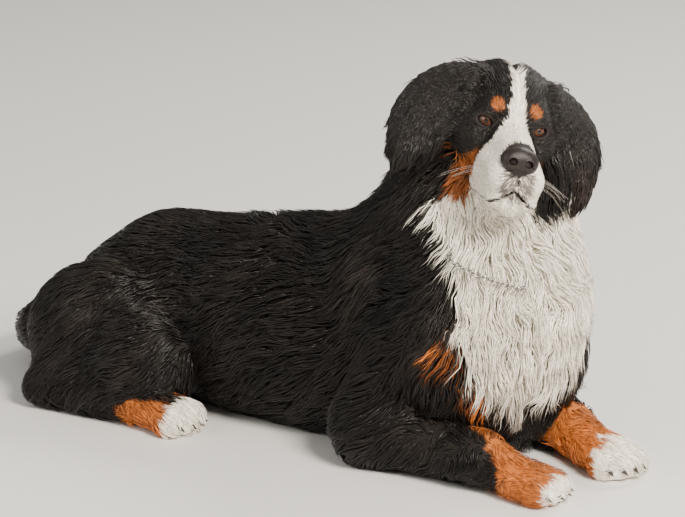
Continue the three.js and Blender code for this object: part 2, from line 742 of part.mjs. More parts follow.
for (const [name, s] of [["left", 1], ["right", -1]]) {
  const leg = LEGS[name];
  addPart(`eye_${name}`, 0x3a1c0c, 0.1, {
    core: eyeSphere(s, EYE.radius),
    coreMore: eyeSphere(s, EYE.radius + GAP),
  });
  addPart(`ear_${name}`, BLACK, 0.75, {
    core: earShell(s, 0),
    coreMore: earShell(s, GAP),
    locks: earFringe(s, 0),
    locksMore: earFringe(s, GAP),
  });
  addPart(`thigh_${name}`, BLACK, 0.75, {
    ...wrapped(thighCore[name], THIGH_LINE(s), 6, 14, [35, 65]),
    ...coatOf(
      thighCore[name],
      rootsOn(
        thighCore[name],
        THIGH_LINE(s),
        {
          rows: [[0, -60], [0, -20], [0.4, 0], [0.8, 0], [1, 25]],
          low: s > 0 ? -35 : 65,
          high: s > 0 ? 115 : 215,
          spacing: 90,
          open: clearOf([torsoCore], 0),
        },
        draw,
      ),
      thighLie,
      () => [155, 88, THIGH_COAT * 0.5],
      draw,
    ),
  });
  addPart(`hind_foot_${name}`, RUST, 0.75, wrapped(grown(hindFootSkin(s), 5), HIND_FOOT_LINE(s), 6, 12, [35, 65]));
  addPart(`foreleg_${name}`, RUST, 0.75, {
    ...wrapped(legCore[name], FORELEG_LINE(leg), 6, 12, [35, 65]),
    ...coatOf(
      legCore[name],
      rootsOn(
        legCore[name],
        FORELEG_LINE(leg),
        {
          rows: [[0, -55], [0, -15], [0.35, 0]],
          low: s > 0 ? -30 : 90,
          high: s > 0 ? 90 : 210,
          spacing: 66,
          open: clearOf([torsoCore], 0),
        },
        draw,
      ),
      legLie,
      (p) => [95, 62, legCoat(p) * 0.5 + 3],
      draw,
    ),
  });
  addPart(`forepaw_${name}`, WHITE, 0.75, wrapped(grown(forepawSkin(leg), 4), FOREPAW_LINE(leg), 6, 16, [35, 65]));
}
addPart("torso", BLACK, 0.75, {
  ...wrapped(torsoCore, TORSO_LINE, 10, 18, [35, 65]),
  ...coatOf(
    torsoCore,
    rootsOn(
      torsoCore,
      TORSO_LINE,
      {
        rows: [...evenRows(7, 0.02, 1), [1, 35], [1, 62]],
        low: -30,
        high: 210,
        spacing: 98,
        open: clearOf([neckCore, thighCore.left, thighCore.right, legCore.left, legCore.right], -4),
      },
      draw,
    ),
    bodyLie,
    (p) => [165, 90, torsoCoat(p) * 0.5],
    draw,
  ),
});
addPart("neck", BLACK, 0.75, {
  ...wrapped(neckCore, NECK_LINE, 5, 14, [35, 65]),
  ...coatOf(
    neckCore,
    rootsOn(
      neckCore,
      NECK_LINE,
      {
        rows: evenRows(4, 0.08, 0.84),
        low: -180,
        high: 180,
        spacing: 106,
        open: (p) => torsoCore(p) > -4 && headCore(p) > 30,
      },
      draw,
    ),
    neckLie,
    (p) => [145, 90, neckCoat(p) * 0.5],
    draw,
  ),
});
addPart("tail", BLACK, 0.75, {
  ...wrapped(tailCore, TAIL_LINE, 9, 9, [35, 65]),
  ...coatOf(
    tailCore,
    rootsOn(
      tailCore,
      TAIL_LINE,
      { rows: evenRows(5, 0.1, 0.92), low: -30, high: 210, spacing: 92, open: clearOf([torsoCore, ...Object.values(thighCore)], 0) },
      draw,
    ),
    tailLie,
    () => [145, 74, TAIL_COAT * 0.5],
    draw,
  ),
});

// The claws of each paw, counted from the dog's right to its left.
for (const [name, s] of [["left", 1], ["right", -1]]) {
  const { paw, turn } = LEGS[name];
  const hindMiddle = [HIND_PAW.x, s * HIND_PAW.y + swayAt(HIND_PAW.x), HIND_PAW.z];
  const feet = { fore: [toeMiddle(paw, turn), turn], hind: [hindMiddle, 0] };
  for (const [foot, [middle, clawTurn]] of Object.entries(feet)) {
    toePlaces(middle, clawTurn).forEach((at, i) => {
      const place = { at, turn: clawTurn };
      const core = claw(place);
      addPart(`claw_${foot}_${name}_${i + 1}`, 0x2b2520, 0.45, { core, coreMore: claw(place, GAP) });
    });
  }
}

const coatSurface = merged([grown(torsoCore, 9), grown(neckCore, 9)], 30);
const route = chainRoute(coatSurface);
const links = route.flatMap((at, i) => [
  { at, radius: CHAIN.thin },
  { at: at.clone().lerp(route[(i + 1) % route.length], 0.5), radius: CHAIN.thick },
]);
addPart("collar_chain", 0xb9bcc0, 0.3, {
  core: loopOf(links),
  coreMore: loopOf(route.map((at) => ({ at, radius: CHAIN.thick + GAP + 0.1 }))),
});

// Parts in the order in which they cut each other: each one is cut by all those before it.
const ORDER = [
  ...[...parts.keys()].filter((name) => name.startsWith("claw")),
  "collar_chain",
  "eye_left",
  "eye_right",
  "nose",
  "head",
  "ear_left",
  "ear_right",
  "forepaw_left",
  "forepaw_right",
  "hind_foot_left",
  "hind_foot_right",
  "foreleg_left",
  "foreleg_right",
  "thigh_left",
  "thigh_right",
  "torso",
  "neck",
  "tail",
];
const floor = solidOf(new THREE.BoxGeometry(4000, 4000, 600).translate(0, 0, -300));

const dog = new THREE.Group();
ORDER.forEach((name, i) => {
  const part = parts.get(name);
  let solid = part.core;
  for (const before of ORDER.slice(0, i)) solid = solid.subtract(parts.get(before).coreMore);
  if (part.locks) {
    let locks = part.locks;
    for (const other of ORDER) if (other !== name) locks = locks.subtract(parts.get(other).coreMore);
    for (const before of ORDER.slice(0, i))
      if (parts.get(before).locksMore) locks = locks.subtract(parts.get(before).locksMore);
    solid = solid.add(locks);
  }
  solid = largest(solid.subtract(floor));
  const mesh = new THREE.Mesh(
    geometryOf(solid),
    new THREE.MeshStandardMaterial({ color: part.colour, roughness: part.roughness, metalness: 0 }),
  );
  mesh.name = name;
  dog.add(mesh);
});

// The origin is on the floor, under the middle of the whole dog.
const box = new THREE.Box3().setFromObject(dog);
dog.position.set(-(box.min.x + box.max.x) / 2, -(box.min.y + box.max.y) / 2, -box.min.z);

export default dog;
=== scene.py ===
# %% [markdown]
# # A life-size Bernese mountain dog, lying with its head up
# The dog lies on the floor like a sphinx, with its head turned to its right. A museum makes such
# a model from a sculpted form with a coat laid over it. This lesson does the same: one smooth skin
# is sculpted from simple masses, and the coat is laid on it as many thin, overlapping tufts.
# All sizes below are in millimetres in the dog's own frame (x to the chest, y to the dog's left,
# z up), and one function turns them into the scene's metres.

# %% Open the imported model
import bpy
import math
import numpy as np
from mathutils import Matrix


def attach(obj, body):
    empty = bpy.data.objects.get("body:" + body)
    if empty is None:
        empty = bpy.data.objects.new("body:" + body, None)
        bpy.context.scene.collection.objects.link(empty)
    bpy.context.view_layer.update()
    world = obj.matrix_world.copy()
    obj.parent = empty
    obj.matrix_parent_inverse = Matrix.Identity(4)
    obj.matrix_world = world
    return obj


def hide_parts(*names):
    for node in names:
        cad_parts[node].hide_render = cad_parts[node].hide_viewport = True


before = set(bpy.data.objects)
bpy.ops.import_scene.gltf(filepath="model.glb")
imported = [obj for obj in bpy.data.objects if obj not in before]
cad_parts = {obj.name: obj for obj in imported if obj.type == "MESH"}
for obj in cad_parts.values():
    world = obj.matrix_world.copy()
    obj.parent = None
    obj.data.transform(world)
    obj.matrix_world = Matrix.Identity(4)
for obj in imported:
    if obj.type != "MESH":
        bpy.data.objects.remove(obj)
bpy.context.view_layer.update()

import openvdb
from mathutils import Vector
from mathutils.bvhtree import BVHTree
from mathutils.kdtree import KDTree

MM = 0.001
PLACE = np.array([0.1832, 0.0087, 0.0])


def to_scene(points):
    return np.asarray(points) * MM + PLACE


def placed(name, data):
    """A new object in the scene for a mesh, a lamp or the camera."""
    made = bpy.data.objects.new(name, data)
    bpy.context.scene.collection.objects.link(made)
    return made


# %% [markdown]
# ## Camera, floor and light
# The camera looks down a little at the dog from its right front, through a long lens, as the
# photographer did. The floor is a plain pale sheet, and three large soft lamps stand round it.

# %% Camera, floor and lamps
SENSOR = 36
PHOTO_WIDTH = 685
FOCAL_PIXELS = 3250
CAMERA_AWAY = 5.0
LAMPS_AIM = (0, 0, 0.3)


def aim(thing, target):
    thing.rotation_euler = (Vector(target) - thing.location).to_track_quat("-Z", "Y").to_euler()


def soft_lamp(name, place, size, power, colour):
    data = bpy.data.lights.new(name, "AREA")
    data.shape = "DISK"
    data.size = size
    data.energy = power
    data.color = colour
    lamp = placed(name, data)
    lamp.location = place
    aim(lamp, LAMPS_AIM)
    return lamp


look_at = np.array([-0.0752, -0.0803, 0.2905]) + PLACE
azimuth, elevation = math.radians(34), math.radians(16)
level = math.cos(elevation)
toward = np.array([math.sin(azimuth) * level, -math.cos(azimuth) * level, math.sin(elevation)])
camera = placed("camera", bpy.data.cameras.new("camera"))
camera.data.sensor_width = SENSOR
camera.data.lens = FOCAL_PIXELS / PHOTO_WIDTH * SENSOR
camera.location = Vector(look_at + CAMERA_AWAY * toward)
aim(camera, look_at)
bpy.context.scene.camera = camera

floor_mesh = bpy.data.meshes.new("floor")
floor_mesh.from_pydata([(-9, -9, 0), (9, -9, 0), (9, 9, 0), (-9, 9, 0)], [], [(0, 1, 2, 3)])
floor = placed("floor", floor_mesh)
key = soft_lamp("key_lamp", (3.2, -1.6, 2.9), 1.5, 410, (1.0, 0.92, 0.82))
fill = soft_lamp("fill_lamp", (-2.2, -3.6, 2.4), 2.6, 80, (1.0, 0.96, 0.90))
rim = soft_lamp("rim_lamp", (0.6, 3.4, 3.2), 1.8, 150, (1.0, 0.95, 0.88))
world = bpy.data.worlds.new("studio")
bpy.context.scene.world = world
world.use_nodes = True
background = world.node_tree.nodes["Background"]
background.inputs[0].default_value = (1.0, 0.97, 0.92, 1)
background.inputs[1].default_value = 0.5
print("camera at", [round(v, 2) for v in camera.location])


# %% [markdown]
# ## Sums on sockets
# A finish is easier to read as a sum than as a drawing of nodes. The class below wraps a socket,
# so that a line such as 1 - mask adds the Math node it needs. A recipe holds one tree of nodes,
# and finish_of() starts one for a new material.


# %% A socket that takes part in sums
class Wire:
    def __init__(self, recipe, socket):
        self.recipe, self.socket = recipe, socket

    def _sum(self, operation, *values):
        return self.recipe.node("ShaderNodeMath", {"operation": operation}, values)[0]

    def __add__(self, other):
        return self._sum("ADD", self, other)

    def __sub__(self, other):
        return self._sum("SUBTRACT", self, other)

    def __rsub__(self, other):
        return self._sum("SUBTRACT", other, self)

    def __mul__(self, other):
        return self._sum("MULTIPLY", self, other)

    __radd__, __rmul__ = __add__, __mul__


# %% Recipes and finishes
class Recipe:
    def __init__(self, tree):
        self.tree = tree

    def node(self, kind, settings=None, values=()):
        made = self.tree.nodes.new(kind)
        for name, value in (settings or {}).items():
            setattr(made, name, value)
        pairs = values.items() if isinstance(values, dict) else enumerate(values)
        for name, value in pairs:
            if isinstance(value, Wire):
                self.tree.links.new(value.socket, made.inputs[name])
            else:
                made.inputs[name].default_value = value
        return [Wire(self, socket) for socket in made.outputs]

    def feed(self, name, wire):
        """Link a wire to the shader's socket of that name."""
        self.tree.links.new(wire.socket, self.tree.nodes["Principled BSDF"].inputs[name])

    def painted(self):
        """Take the finish's colour from what is painted on the piece."""
        self.feed("Base Color", self.node("ShaderNodeVertexColor", {"layer_name": "tone"})[0])

    def relief(self, depth, height):
        """Let the surface rise and fall by a depth in metres."""
        bump = {"Strength": 0.5, "Distance": depth, "Height": height}
        self.feed("Normal", self.node("ShaderNodeBump", {}, bump)[0])


def finish_of(name, base=None, roughness=0.5, **constants):
    material = bpy.data.materials.new(name)
    material.use_nodes = True
    inputs = material.node_tree.nodes["Principled BSDF"].inputs
    inputs["Roughness"].default_value = roughness
    if base:
        inputs["Base Color"].default_value = (*base, 1)
    for word, value in constants.items():
        inputs[word.replace("_", " ").title().replace("Ior", "IOR")].default_value = value
    return material, Recipe(material.node_tree)


floor_mesh.materials.append(finish_of("pale_floor", (0.74, 0.73, 0.71), 0.6)[0])
print("floor finish", floor_mesh.materials[0].name)


# %% [markdown]
# ## Masses
# A body is easiest to sculpt from egg shapes and tapered limbs that run into one another. Each is
# written as a function that tells how far a point lies outside it, and merged() lets them flow
# together over a given width, as flesh does.


# %% Masses that flow together
def blob(centre, radii):
    centre, radii = np.array(centre, "f"), np.array(radii, "f")

    def far(p):
        q = (p - centre) / radii
        near = np.sqrt((q * q).sum(-1)) + 1e-5
        slope = np.sqrt(((q / radii) ** 2).sum(-1)) + 1e-6
        return near * (near - 1) / slope

    return far


def limb(a, b, radius_a, radius_b):
    a, b = np.array(a, "f"), np.array(b, "f")
    d = b - a
    length2 = float(d @ d)

    def far(p):
        q = p - a
        t = np.clip(q @ d / length2, 0, 1)
        away = q - t[..., None] * d
        return np.sqrt((away * away).sum(-1)) - radius_a - t * (radius_b - radius_a)

    return far


def joined(a, b, blend):
    """The nearer of two distances, with the crease between them filled."""
    h = np.maximum(blend - np.abs(a - b), 0) / blend
    return np.minimum(a, b) - h * h * blend / 4


def merged(blend, *pieces):
    def far(p):
        nearest = pieces[0](p)
        for piece in pieces[1:]:
            nearest = joined(nearest, piece(p), blend)
        return nearest

    return far


def both(make):
    return [make(1), make(-1)]


# %% Steps, ways and slopes
def axes(p):
    return p[..., 0], p[..., 1], p[..., 2]


def vector(x, y, z):
    """One vector for each point, where a plain number is the same at them all."""
    return np.stack(np.broadcast_arrays(x, y, z), -1).astype(np.result_type(x, y, z))


def smooth(x, low, high):
    t = np.clip((x - low) / (high - low), 0, 1)
    return t * t * (3 - 2 * t)


def unit(v):
    return v / (np.sqrt((v * v).sum(-1))[..., None] + 1e-9)


def slope_of(field, p, step=1.5):
    """How far each point lies outside, and the way straight out from there."""
    p = np.asarray(p, "f")
    here = field(p)
    rise = [field(p + step * way) - here for way in np.eye(3, dtype="f")]
    return here, unit(np.stack(rise, -1))


def settled(field, p, times=4):
    """The points moved on to the surface."""
    for _ in range(times):
        here, out = slope_of(field, p)
        p = p - here[..., None] * out * 0.9
    return p


egg = blob((0, 0, 0), (30, 20, 10))
print("a point settles at", settled(egg, np.array([(40, 0, 0)], "f"))[0].round(1))

# %% [markdown]
# ## Body, neck, legs and tail
# The chest is deep and broad, the hind quarters lie over to the dog's right, and the tail curls
# round on the floor. The masses follow those of the solid model, and padded() lays the woolly
# undercoat on them, which is deepest on the chest and the throat.


# %% Torso and neck
def sway(x):
    """How far the body lies over to a side at this x."""
    back = np.maximum(0, -150 - x) / 450
    return -55 * back * back


def swayed(field):
    def far(p):
        q = p.copy()
        q[..., 1] -= sway(p[..., 0])
        return field(q)

    return far


bare_torso = swayed(
    merged(
        60,
        blob((-50, 0, 140), (235, 128, 140)),
        blob((-200, 0, 145), (200, 138, 135)),
        blob((-350, 0, 138), (190, 122, 125)),
        blob((-470, 0, 138), (125, 100, 108)),
        blob((-80, 0, 263), (115, 48, 40)),
        limb((-90, 0, 227), (-440, 0, 227), 52, 50),
        blob((133, 0, 190), (105, 100, 120)),
        *both(lambda s: blob((80, 88 * s, 185), (80, 50, 90))),
    )
)
bare_neck = merged(
    40,
    limb((12, 0, 262), (88, 4, 360), 108, 92),
    limb((88, 4, 360), (142, 8, 452), 92, 76),
    blob((130, 4, 280), (96, 98, 100)),
)
print("withers at", round(float(300 - bare_torso(np.array((-80, 0, 300), "f")))), "mm")


# %% Legs, feet and tail
def thigh(s):
    return [
        blob((-482, 108 * s, 118), (122, 74, 112)),
        blob((-400, 148 * s, 86), (82, 52, 78)),
        blob((-548, 85 * s, 100), (58, 56, 84)),
        limb((-400, 168 * s, 56), (-545, 165 * s, 40), 46, 30),
    ]


def toes(middle, turn):
    """Four toes side by side, the middle two further forward."""
    made = []
    for i in range(4):
        sideways = (i - 1.5) * 20
        forward = 14 - abs(sideways) * 0.45
        x = middle[0] + forward * math.cos(turn) - sideways * math.sin(turn)
        y = middle[1] + forward * math.sin(turn) + sideways * math.cos(turn)
        made.append(blob((x, y, middle[2]), (26, 13, 22)))
    return made


def hind_foot(s):
    return [
        limb((-560, 172 * s, 30), (-385, 190 * s, 29), 29, 31),
        blob((-335, 194 * s, 27), (56, 39, 29)),
        *toes((-302, 197 * s, 20), 0),
    ]


def foreleg(s, wrist):
    upper = limb((70, s * 118, 170), (35, s * 148, 68), 56, 50)
    return merged(30, upper, limb((30, s * 148, 58), wrist, 50, 39))


def forepaw(wrist, paw, turn):
    pad = blob((paw[0] + 8, paw[1], 25), (50, 42, 29))
    return merged(10, limb(wrist, paw, 37, 31), pad, *toes((paw[0] + 38, paw[1] + 38 * turn, 20), turn))


# Each foreleg has its side, its wrist, its paw and the way in which the paw is turned.
LEGS = [(-1, (222, -154, 44), (296, -155, 25), -0.03), (1, (250, 55, 44), (330, 18, 24), -0.42)]
TAIL_LINE = np.array(
    [
        (-552, -48, 152),
        (-612, -56, 112),
        (-682, -54, 70),
        (-728, -15, 52),
        (-728, 70, 46),
        (-686, 152, 44),
        (-622, 208, 42),
    ],
    "f",
)
TAIL_RADII = [38, 34, 30, 27, 24, 21, 15]
tail_limbs = [limb(*TAIL_LINE[i : i + 2], *TAIL_RADII[i : i + 2]) for i in range(6)]


# %% The whole body
def padded(mass, low, high=None, start=0, end=1):
    """The mass with its woolly undercoat, which thickens from one x to another."""
    more = low if high is None else high
    return lambda p: mass(p) - low - (more - low) * smooth(p[..., 0], start, end)


BODY = {
    "torso": padded(bare_torso, 9, 33, 20, 170),
    "neck": padded(bare_neck, 12, 33, 60, 180),
    "thighs": padded(swayed(merged(45, *thigh(1), *thigh(-1))), 3),
    "hind_feet": swayed(merged(10, *hind_foot(1), *hind_foot(-1))),
    "forelegs": padded(merged(1, *[foreleg(s, wrist) for s, wrist, _, _ in LEGS]), 7, 0, 0, 150),
    "forepaws": merged(1, *[forepaw(wrist, paw, turn) for _, wrist, paw, turn in LEGS]),
    "tail": padded(merged(20, *tail_limbs), 5),
}
flesh = merged(
    16,
    merged(45, BODY["torso"], BODY["neck"]),
    merged(14, BODY["forelegs"], BODY["forepaws"]),
    merged(20, BODY["thighs"], BODY["tail"]),
    BODY["hind_feet"],
)
FLOOR_GAP = 0.6


def body(p):
    return np.maximum(flesh(p), FLOOR_GAP - p[..., 2])


def part_of(p):
    """The number of the body's part that each point belongs to."""
    return np.argmin(np.stack([mass(p) for mass in BODY.values()], -1), -1)


def by_part(part, choices):
    return np.select([(part == k)[..., None] for k in range(len(BODY))], choices)


print("body masses", len(BODY))

# %% [markdown]
# ## Head
# The head has its own frame: x runs along the muzzle, y to its left, z up, with the origin between
# the eyes. The broad skull, the stop, the square muzzle with its hanging upper lips, the lids
# round the eyes and the line of the mouth are all in the skin itself.

# %% The head's frame and masses
HEAD_ORIGIN = np.array((219.5, -70.7, 539), "f")


def turned(axis, degrees):
    c, s = math.cos(math.radians(degrees)), math.sin(math.radians(degrees))
    rows = {
        "x": ((1, 0, 0), (0, c, -s), (0, s, c)),
        "y": ((c, 0, s), (0, 1, 0), (-s, 0, c)),
        "z": ((c, -s, 0), (s, c, 0), (0, 0, 1)),
    }
    return np.array(rows[axis], "f")


HEAD_TURN = turned("z", -49) @ turned("y", -0.5) @ turned("x", -14)


def into_head(p):
    return (np.asarray(p, "f") - HEAD_ORIGIN) @ HEAD_TURN


def from_head(p):
    return np.asarray(p, "f") @ HEAD_TURN.T + HEAD_ORIGIN


skull_masses = merged(
    16,
    blob((-80, 0, 6), (94, 74, 64)),
    *both(lambda s: blob((-48, s * 46, -26), (58, 36, 46))),
    *both(lambda s: blob((-14, s * 30, 17), (22, 22, 15))),
    limb((-5, 0, -26), (92, 0, -31), 34, 26),
    *both(lambda s: limb((8, s * 22, -56), (84, s * 18, -58), 28, 25)),
    *both(lambda s: limb((6, s * 28, -84), (70, s * 20, -84), 22, 19)),
    limb((-30, 0, -88), (64, 0, -98), 34, 20),
    blob((-100, 0, -45), (55, 60, 50)),
)


def hung(z):
    """How far a lip at this height swings to the left, as the head is tilted."""
    return 0.12 * np.maximum(0, -20 - z)


def skull(p):
    q = p.copy()
    q[..., 1] -= hung(p[..., 2])
    return skull_masses(q)


print("head turned by", HEAD_TURN.round(2).tolist())

# %% The ears
# Each row is a place on the left ear's middle line, the ear's breadth there and its front's turn.
EAR_LINE = np.array(
    [
        (-66, 48, 44, 56, 14),
        (-66, 71, 44, 78, 26),
        (-64, 93, 19, 100, 42),
        (-60, 117, -18, 104, 50),
        (-55, 130, -60, 72, 54),
        (-52, 133, -90, 20, 54),
    ],
    "f",
)
EAR_LIFT = {1: -4, -1: 4}
EAR_STEPS = 14
EAR_HALF, EAR_BOW = 4, 11


def ear_stations(side):
    """The ear's middle line, width and turn, smoothed through the rows above."""
    line = EAR_LINE * np.array((1, side, 1, 1, 1), "f")
    line[:, 2] += EAR_LIFT[side] * np.array((1, 1, 0.8, 0.4, 0, 0))
    rows = np.concatenate([2 * line[:1] - line[1:2], line, 2 * line[-1:] - line[-2:-1]])
    made = []
    for t in np.linspace(0, len(line) - 1.001, EAR_STEPS):
        k, f = int(t), t - int(t)
        a, b, c, d = rows[k : k + 4]
        bend = 2 * a - 5 * b + 4 * c - d + f * (3 * (b - c) + d - a)
        made.append(b + 0.5 * f * (c - a + f * bend))
    return np.array(made, "f")


def ear(side):
    """A bowed flap that is EAR_HALF millimetres thick to each side of its middle."""
    stations = ear_stations(side)

    def length_of_flap(i):
        a, b = stations[i], stations[i + 1]
        d = b[:3] - a[:3]
        down = unit(d)

        def far(p):
            t = np.clip((p - a[:3]) @ d / (d @ d), 0, 1)
            turn = np.radians(a[4] + (b[4] - a[4]) * t)
            front = np.stack([np.cos(turn), -side * np.sin(turn), 0 * turn], -1)
            front = unit(front - (front @ down)[..., None] * down)
            out = np.cross(front, down) * side
            q = p - a[:3] - t[..., None] * d
            half = (a[3] + (b[3] - a[3]) * t) / 2
            u = (q * front).sum(-1)
            lift = EAR_BOW * (1 - np.minimum((u / half) ** 2, 1.5))
            v = (q * out).sum(-1) - lift
            past = np.maximum(np.abs(u) - half + EAR_HALF, 0)
            return np.sqrt(past * past + v * v + (q @ down) ** 2) - EAR_HALF

        return far

    return merged(5, *[length_of_flap(i) for i in range(EAR_STEPS - 1)])


ears = both(ear)
print("ear tip", ear_stations(1)[-1, :3].round())

# %% Lids, eye sockets and the line of the mouth
LID_RADIUS, SOCKET_RADIUS = 16.8, 12.9


def eye_place(side):
    return np.array((-7, side * 38, 0), "f")


def lid_opening(side):
    turn = turned("z", side * 18) @ turned("x", side * 12)
    radii = np.array((13, 12.6, 7.4), "f")

    def far(p):
        q = ((p - eye_place(side)) @ turn - np.array((11, 0, -0.5), "f")) / radii
        near = np.sqrt((q * q).sum(-1)) + 1e-5
        return (near - 1) * 6

    return far


def from_line(line):
    """How far a point lies from a line of points."""
    pieces = [limb(line[i], line[i + 1], 0, 0) for i in range(len(line) - 1)]
    return lambda p: np.minimum.reduce([piece(p) for piece in pieces])


MOUTH = np.array(
    [
        (14, 46, -108),
        (30, 45, -109),
        (50, 40, -107),
        (66, 34, -103),
        (82, 24, -93),
        (92, 12, -81),
        (98, 0, -71),
    ],
    "f",
)
MOUTH = np.concatenate([MOUTH, MOUTH[-2::-1] * np.array((1, -1, 1), "f")])
PHILTRUM = np.array([(106, 0, -46), (103, 0, -58), (98, 0, -71)], "f")
for line in (MOUTH, PHILTRUM):
    line[:, 1] += hung(line[:, 2])
MOUTH, PHILTRUM = settled(skull, MOUTH), settled(skull, PHILTRUM)
mouth_line, philtrum_line = from_line(MOUTH), from_line(PHILTRUM)
lids = both(lambda s: blob(eye_place(s), [LID_RADIUS] * 3))
sockets = both(lambda s: blob(eye_place(s), [SOCKET_RADIUS] * 3))
openings = both(lid_opening)
print("mouth corner", MOUTH[0].round(), "middle", MOUTH[6].round())

# %% The whole head
LIP_SWELL, LIP_AWAY, LIP_SPREAD = 2.2, 6, 4
MOUTH_CUT, PHILTRUM_CUT = 2.6, 1.3


def face(p):
    made = merged(9, skull, *lids)(p)
    for hole in (*sockets, *openings):
        made = np.maximum(made, -hole(p))
    lip = mouth_line(p)
    made = made - LIP_SWELL * np.exp(-(((lip - LIP_AWAY) / LIP_SPREAD) ** 2))
    made = np.maximum(made, MOUTH_CUT - lip)
    return np.maximum(made, PHILTRUM_CUT - philtrum_line(p))


def head(p):
    made = face(p)
    for flap in ears:
        made = joined(made, flap(p), 14)
    return made


def ear_share(q):
    """Below nought on an ear, and above it on the face."""
    return np.minimum(ears[0](q), ears[1](q)) - face(q)


print("head at the nose", head(np.array((100, 0, -30), "f")).round(1))

# %% [markdown]
# ## From masses to mesh
# The distance is measured on a grid and the surface is drawn where it is nought. The body takes a
# grid of about seven millimetres, and the head one of about two for its lids and lips.


# %% Draw a surface from its field
def drawn(field, low, high, step):
    """Only blocks of the grid that lie near the surface are measured closely."""
    low, block = np.array(low, "f"), 8
    blocks = np.ceil((np.array(high) - low) / step / block).astype(int)
    centres = (np.indices(blocks).reshape(3, -1).T + 0.5).astype("f") * block * step + low
    middle = field(centres)
    values = np.empty((len(centres), block**3), "f")
    values[:] = middle[:, None]
    near = np.flatnonzero(np.abs(middle) < 1.5 * block * step)
    inner = (np.indices((block,) * 3).reshape(3, -1).T - block / 2).astype("f") * step
    for start in range(0, len(near), 400):
        chosen = near[start : start + 400]
        values[chosen] = field(centres[chosen][:, None] + inner)
    values = values.reshape(*blocks, block, block, block).transpose(0, 3, 1, 4, 2, 5)
    values = np.ascontiguousarray(values).reshape(blocks * block)
    grid = openvdb.FloatGrid(background=float(step))
    grid.copyFromArray(np.clip(values, -3 * step, 3 * step))
    points, _, quads = grid.convertToPolygons(isovalue=0.0)
    points = points * step + low
    a, b, c, d = (points[quads[:, k]] for k in range(4))
    volume = (np.cross(a, b) * c).sum() + (np.cross(a, c) * d).sum()
    return points, quads if volume > 0 else quads[:, ::-1]


def mesh_object(name, points, faces, finish):
    mesh = bpy.data.meshes.new(name)
    mesh.vertices.add(len(points))
    mesh.vertices.foreach_set("co", to_scene(points).astype("f").ravel())
    mesh.loops.add(faces.size)
    mesh.loops.foreach_set("vertex_index", faces.astype("i").ravel())
    mesh.polygons.add(len(faces))
    mesh.polygons.foreach_set("loop_start", np.arange(len(faces), dtype="i") * faces.shape[1])
    mesh.update(calc_edges=True)
    mesh.shade_smooth()
    mesh.materials.append(finish)
    made = placed(name, mesh)
    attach(made, "root")
    return made


def paint(made, colours):
    layer = made.data.color_attributes.new("tone", "FLOAT_COLOR", "POINT")
    rgba = np.ones((len(colours), 4), "f")
    rgba[:, :3] = colours
    layer.data.foreach_set("color", rgba.ravel())


BODY_BOX = ((-800, -290, -3), (400, 290, 540))
body_points, body_faces = drawn(body, *BODY_BOX, 7.2)
head_points, head_faces = drawn(head, (-195, -165, -135), (135, 165, 95), 2.3)
print("body skin", len(body_faces), "faces, head skin", len(head_faces))


# %% [markdown]
# ## Markings
# The dog is black with rust and white: a white blaze that widens over the muzzle, a white bib and
# white toes, and rust between the white and the black on cheeks, brows and legs. One function for
# the body and one for the head give the colour at any point, and both the skin and the coat ask
# them. Hair doesn't grow along a ruled line, so a slow ripple breaks each edge.


# %% Colours and ripples
def ripple(p, size, seed):
    draw = np.random.default_rng(seed)
    total = np.zeros(p.shape[:-1], "f")
    for _ in range(7):
        way = draw.normal(size=3)
        way = way / np.linalg.norm(way) * 2 * math.pi / (size * draw.uniform(0.6, 1.7))
        total += np.sin(p @ way.astype("f") + draw.uniform(0, 6.28))
    return total / 2.6


def ripples(p, size, seed):
    """Three ripples at each point, as a way to be pushed in."""
    return np.stack([ripple(p, size, seed + k) for k in range(3)], -1)


BLACK = np.array((0.0095, 0.0070, 0.0057), "f")
RUST = np.array((0.40, 0.115, 0.022), "f")
WHITE = np.array((0.96, 0.90, 0.79), "f")
LIP = np.array((0.018, 0.014, 0.014), "f")
MAUVE = np.array((0.13, 0.098, 0.094), "f")


def all_black(p):
    return np.broadcast_to(BLACK, p.shape).copy()


def layered(base, colour, share):
    return base + (colour - base) * np.clip(share, 0, 1)[..., None]


def cheek_spot(q, wobble):
    """The small rust spot that shows between the right ear and the cheek."""
    far = np.linalg.norm((q - np.array((-50, -76, -62), "f")) / (1, 2, 1.2), axis=-1)
    return 0.8 * smooth(-far - 0.3 * wobble, -12, -7)


# %% Markings of the body
# The bib's edge is an x for each height, and its hem is a height for each y.
BIB_EDGE = (
    (70, 96, 135, 220, 246, 256, 262, 282, 300, 360, 384, 396, 414, 430, 470),
    (243, 228, 208, 184, 168, 200, 176, 172, 166, 124, 88, 80, 112, 156, 196),
)
BIB_HEM = ((-150, -112, -73, -38, 29, 80, 110), (130, 98, 80, 103, 142, 190, 230))
shoulder_patch = limb((158, -164, 192), (206, -132, 104), 24, 10)
far_cheek = limb((0, 84, -40), (-12, 110, -114), 46, 39)


